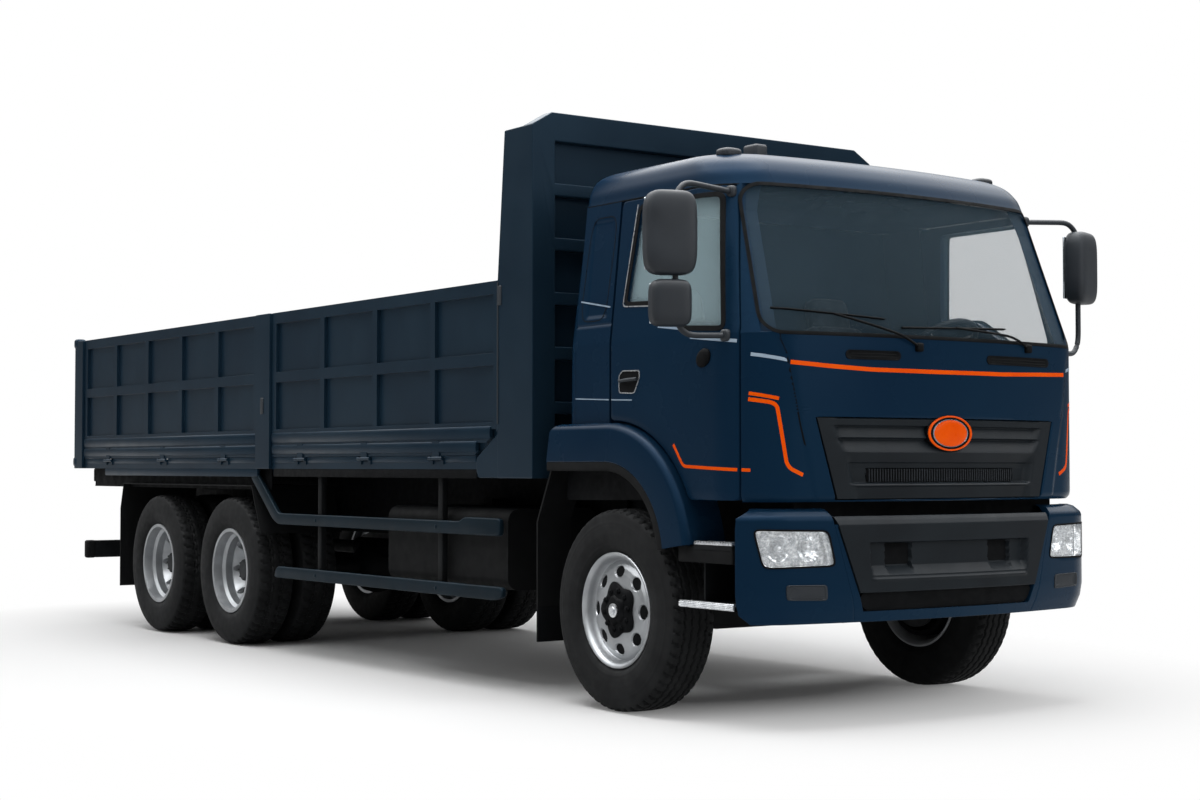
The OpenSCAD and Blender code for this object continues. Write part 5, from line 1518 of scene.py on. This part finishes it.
darkShade = {  # shades that close the view through the chassis: low and high corners on the left
    "arch": ([0.500, yAxle - 0.64, 0.80], [0.512, yAxle + 0.62, 1.30]),
    "frame": ([0.470, -2.35, 0.80], [0.480, 4.10, 1.235]),
    "wheels": ([1.160, yRear1 - 0.62, 1.10], [1.168, 4.18, 1.25]),
}


# a sheet with swaged ribs: proud by a soft wave along its length
def swaged(lo, hi):
    y = np.linspace(lo[1], hi[1], 120)[:, None]
    z = np.linspace(lo[2], hi[2], 6)
    wave = 0.003 * np.sin((y - lo[1]) * 2 * np.pi / 0.16) * np.sin(np.pi * (z - lo[2]) / (hi[2] - lo[2]))
    return slab(*[join(x + wave, y, z) for x in (lo[0], hi[0])])


# the shades, a board inside the fender and a flap under it
sheets = [swaged(*corners) for corners in darkShade.values()]
liner = archLine(0.03)
liner = np.concatenate([liner[liner[:, 1] > 1.08], [[fender["rear"] - 0.02, 1.08]]]) + [yAxle, 0]
sheets.append(plateAcross(liner, 1.118, 1.124, 0.002, 200, 1))
sheets.append(softBox([1.0, yAxle + 0.686, 0.31], [1.215, yAxle + 0.70, 0.505], 0.003))
addPiece("innerShades", both(sheets), "chassis", "seam_black")

tail = {"x": (0.750, 1.100), "y": (4.345, 4.412), "z": (1.135, 1.245), "edge": 0.012, "gap": 0.003}


# tail lamps: three boxes side by side before a shell, and caps on the underrun bar
def makeTail():
    (x0, x1), (y0, y1), (z0, z1) = tail["x"], tail["y"], tail["z"]
    edge, gap = tail["edge"], tail["gap"]
    shell = softBox([x0, y0, z0], [x1, y1 - 0.008, z1], edge)
    addPiece("tailShells", both([shell]), "chassis", "seam_black", ["tail_lamps"])
    cuts = np.linspace(x0 + edge, x1 - edge, 4)
    for k, look in enumerate(("lamp_clear", "lamp_red", "lamp_amber")):
        lens = softBox([cuts[k] + gap, y1 - 0.02, z0 + edge], [cuts[k + 1] - gap, y1, z1 - edge], 0.008)
        addPiece("tailLens_%d" % k, both([lens]), "chassis", look)
    lo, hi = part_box("rear_underrun")
    cap = softBox([hi[0] - 0.006, lo[1] - 0.003, lo[2] - 0.003], [1.235, lo[1] + 0.063, lo[2] + 0.143],
                  0.018)
    addPiece("underrunCaps", both([cap]), "chassis", "rubber_black")


makeTail()

step = {
    "y": (-0.965, -0.675), "back": -0.545,
    "up": (0.890, 1.205), "low": (0.600, 1.190),  # height and reach of each step
    "teeth": 24, "lines": (0.002, 0.010, 0.018), "line": 0.0035,
}


# tread strip: teeth along Y over a flat base, one wave per tooth
def treadStrip(z, x0, x1, teeth, high):
    y = yAxle + np.linspace(step["y"][0], step["y"][1], teeth * 8 + 1)
    rise = z + high * np.clip(1.6 * np.sin(np.linspace(0, teeth * 2 * np.pi, len(y))), -1, 1) / 2 + high / 2
    top = np.stack([join(np.full(len(y), x), y, rise) for x in (x0, x1)], 1)
    low = np.stack([join(np.full(len(y), x), y, 0 * y + z - 0.006) for x in (x1, x0)], 1)
    return sheetOf(np.concatenate([top, low], 1), False, True, True)


# steps: toothed strips over boxes, and a bright edge with lines along it
def makeSteps():
    (zu, xu), (zl, xl) = step["up"], step["low"]
    strips = [treadStrip(zu, xu - 0.03, xu + 0.001, step["teeth"], 0.011),
              treadStrip(zu, xu - 0.11, xu - 0.08, step["teeth"], 0.009)]
    addPiece("stepTeeth", both(strips), "chassis", "bright_steel")
    y0, y1 = yAxle + step["y"][0], yAxle + step["back"]
    boxes = [softBox([1.085, y0, zu - 0.095], [xu - 0.002, y1, zu - 0.012], 0.008)]
    boxes += [softBox([1.10, y0, zl - 0.030], [xl - 0.004, y1, zl - 0.004], 0.006)]
    addPiece("stepBoxes", both(boxes), "chassis", "rubber_black")
    edge = [softBox([xl - 0.035, y0, zl - 0.026], [xl + 0.006, y1, zl + 0.008], 0.004)]
    for v in step["lines"]:
        line = np.linspace([xl + 0.006, y0, zl - v], [xl + 0.006, y1, zl - v], 6)
        edge.append(tube(line, step["line"], 8))
    addPiece("stepEdges", both(edge), "chassis", "bright_steel")


makeSteps()
print("bed trim, guards, shades, tail and steps made")

seat = {
    "x": 0.54, "lean": radians(-13.5),
    # middle and half sizes
    "cushion": ([0, -0.14, 1.512], [0.238, 0.272, 0.080]),
    "back": ([0, 0.205, 1.800], [0.236, 0.070, 0.275]), "rest": ([0, 0.298, 2.122], [0.140, 0.052, 0.112]),
    "power": 0.42, "seam": 0.62, "groove": 0.045,
}


# turned about a line along X through a place
def leant(surface, place, angle):
    c, s = np.cos(angle), np.sin(angle)
    rel = surface[0] - place
    return join(rel[:, 0], c * rel[:, 1] - s * rel[:, 2], s * rel[:, 1] + c * rel[:, 2]) + place, surface[1]


# a stuffed form: a rounded block whose faces swell between stitched lines across it
def stuffed(mid, half, across, folds):
    verts, faces = block(mid, half, seat["power"], 36, 60)
    rel = (verts - mid) / half
    line = 1 - np.abs(np.sin(folds * np.pi * (rel[:, across] + 1) / 2)) ** 0.35
    side = np.exp(-((np.abs(rel[:, 0]) - seat["seam"]) / 0.035) ** 2)
    shrink = 1 - seat["groove"] * np.maximum(line * (np.abs(rel[:, 0]) < seat["seam"]), side)
    rel[:, 1:] *= shrink[:, None]
    return mid + rel * half, faces


# seats: stuffed blocks, the upper ones leant back, on boxes and rods
def makeSeats():
    pads, bases = [], []
    for k in (-1, 1):
        shift = np.array([k * seat["x"], yAxle, 0])
        mid, half = (np.array(v) for v in seat["cushion"])
        pads.append(stuffed(mid + shift, half, 1, 4))
        for key, folds in (("back", 5), ("rest", 1)):
            mid, half = (np.array(v) for v in seat[key])
            pads.append(leant(stuffed(mid + shift, half, 2, folds), mid + shift, seat["lean"]))
        x = np.array([-0.07, 0.22]) if k > 0 else np.array([-0.22, 0.07])
        bases.append(softBox(shift + [x[0], -0.33, 1.20], shift + [x[1], 0.09, 1.45], 0.02))
        rods = [shift + [dx, 0.255, z] for dx in (-0.05, 0.05) for z in (1.98, 2.08)]
        for low, high in (rods[:2], rods[2:]):
            bases.append(tube(np.linspace(low, high + np.array([0, 0.02, 0]), 6), 0.007, 10))
    piece = addPiece("seatPads", pads, "chassis", "seat_fabric", ["seats"], 60)
    addPiece("seatBases", bases, "chassis", "dark_plastic")


makeSeats()
print("seats made")

roofLamp = {
    "place": [0.900, yAxle - 0.575, 2.832], "half": [0.06, 0.05, 0.028],
    "box": ([-0.545, yAxle - 0.36, 2.846], [-0.460, yAxle - 0.25, 2.950]),  # low and high corners
}
lamps = [block(np.array(roofLamp["place"]) * [k, 1, 1], roofLamp["half"], 0.6) for k in (-1, 1)]
lamps.append(softBox(*roofLamp["box"], 0.016))
addPiece("roofLamps", lamps, "chassis", "dark_plastic")

view = {"place": (-7.0281, -11.3565, 1.2621), "turn": (91.956, 0, -35.225), "lens": 58.24, "film": 36}
camera = bpy.data.objects.new("camera", bpy.data.cameras.new("camera"))
scene.collection.objects.link(camera)
camera.location = view["place"]
camera.rotation_euler = [radians(a) for a in view["turn"]]
camera.data.lens = view["lens"]
camera.data.sensor_width = view["film"]
scene.camera = camera

studio = {
    # name: place, size, power, what it points at
    "top": ((-1.5, -2.0, 9.0), 9.0, 760, (0, 0, 1)),
    "front": ((2.5, -13.0, 5.0), 6.0, 280, (0, -4, 1.4)),
    "side": ((-13.0, -3.0, 5.5), 7.0, 90, (0, 0, 1.2)),
    "back": ((6.0, 10.0, 6.0), 7.0, 200, (0, 0, 1.2)),
}
for name, (place, size, power, aim) in studio.items():
    lamp = bpy.data.lights.new(name, "AREA")
    lamp.shape = "DISK"
    lamp.size = size
    lamp.energy = power
    holder = bpy.data.objects.new(name, lamp)
    scene.collection.objects.link(holder)
    holder.location = place
    way = np.array(aim, float) - np.array(place)
    flat = np.hypot(way[0], way[1])
    holder.rotation_euler = (np.arctan2(flat, -way[2]), 0, np.arctan2(way[1], way[0]) - np.pi / 2)


sky = {
    "plain": 0.34,  # strength for diffuse light
    "gloss": (0.12, 8.0), "rise": (0.25, 0.95),  # strength of walls and ceiling, and the heights between
    "seen": 1.0,
}


# white where the camera or glass sees it, a soft grey light elsewhere;
# gloss sees a bright ceiling over dim walls
def makeWorld():
    world = bpy.data.worlds.new("studio")
    world.use_nodes = True
    scene.world = world
    tree = world.node_tree
    back = tree.nodes["Background"]
    path = tree.nodes.new("ShaderNodeLightPath")

    # a light's level by the kind of ray: low where it isn't that kind, high where it is
    def mixed(key, low, high):
        blend = tree.nodes.new("ShaderNodeMix")
        tree.links.new(path.outputs[key], blend.inputs["Factor"])
        for socket, value in ((blend.inputs["A"], low), (blend.inputs["B"], high)):
            if isinstance(value, float):
                socket.default_value = value
            else:
                tree.links.new(value, socket)
        return blend.outputs["Result"]
    split = tree.nodes.new("ShaderNodeSeparateXYZ")
    tree.links.new(tree.nodes.new("ShaderNodeTexCoord").outputs["Object"], split.inputs[0])
    ceiling = linkRange(tree, split.outputs["Z"], *sky["gloss"], *sky["rise"])
    level = mixed("Is Glossy Ray", sky["plain"], ceiling)
    for key in ("Is Transmission Ray", "Is Camera Ray"):
        level = mixed(key, level, sky["seen"])
    tree.links.new(level, back.inputs["Strength"])
    back.inputs["Color"].default_value = (1, 1, 1, 1)


makeWorld()

floorLook = {"colour": (0.96, 0.96, 0.96, 1), "rough": 0.9, "squash": (1.5, 1.0, 1.0), "fade": (3.2, 6.2),
             "reach": 80, "under": 0.001}


# pale floor that goes over to plain white away from the truck
def makeFloor():
    mat = bpy.data.materials.new("studioFloor")
    mat.use_nodes = True
    tree = mat.node_tree
    shader = tree.nodes["Principled BSDF"]
    shader.inputs["Base Color"].default_value = floorLook["colour"]
    shader.inputs["Roughness"].default_value = floorLook["rough"]
    shader.inputs["Specular IOR Level"].default_value = 0.0
    glow = tree.nodes.new("ShaderNodeEmission")
    coords = tree.nodes.new("ShaderNodeTexCoord")
    length = tree.nodes.new("ShaderNodeVectorMath")
    length.operation = "LENGTH"
    squash = tree.nodes.new("ShaderNodeMapping")
    squash.inputs["Scale"].default_value = floorLook["squash"]
    tree.links.new(coords.outputs["Object"], squash.inputs["Vector"])
    tree.links.new(squash.outputs["Vector"], length.inputs[0])
    fade = linkRange(tree, length.outputs["Value"], 0.0, 1.0, *floorLook["fade"])
    mix = tree.nodes.new("ShaderNodeMixShader")
    tree.links.new(fade, mix.inputs["Fac"])
    tree.links.new(shader.outputs[0], mix.inputs[1])
    tree.links.new(glow.outputs[0], mix.inputs[2])
    tree.links.new(mix.outputs[0], tree.nodes["Material Output"].inputs["Surface"])
    r = np.linspace(0.001, floorLook["reach"], 30)[:, None]
    a = circle(64)
    verts, faces = sheetOf(join(r * np.cos(a), r * np.sin(a), -floorLook["under"]), False, True)
    mesh = bpy.data.meshes.new("floor")
    mesh.from_pydata(verts.tolist(), [], faces[0].tolist())
    mesh.materials.append(mat)
    floor = bpy.data.objects.new("floor", mesh)
    scene.collection.objects.link(floor)


makeFloor()
print("studio set")
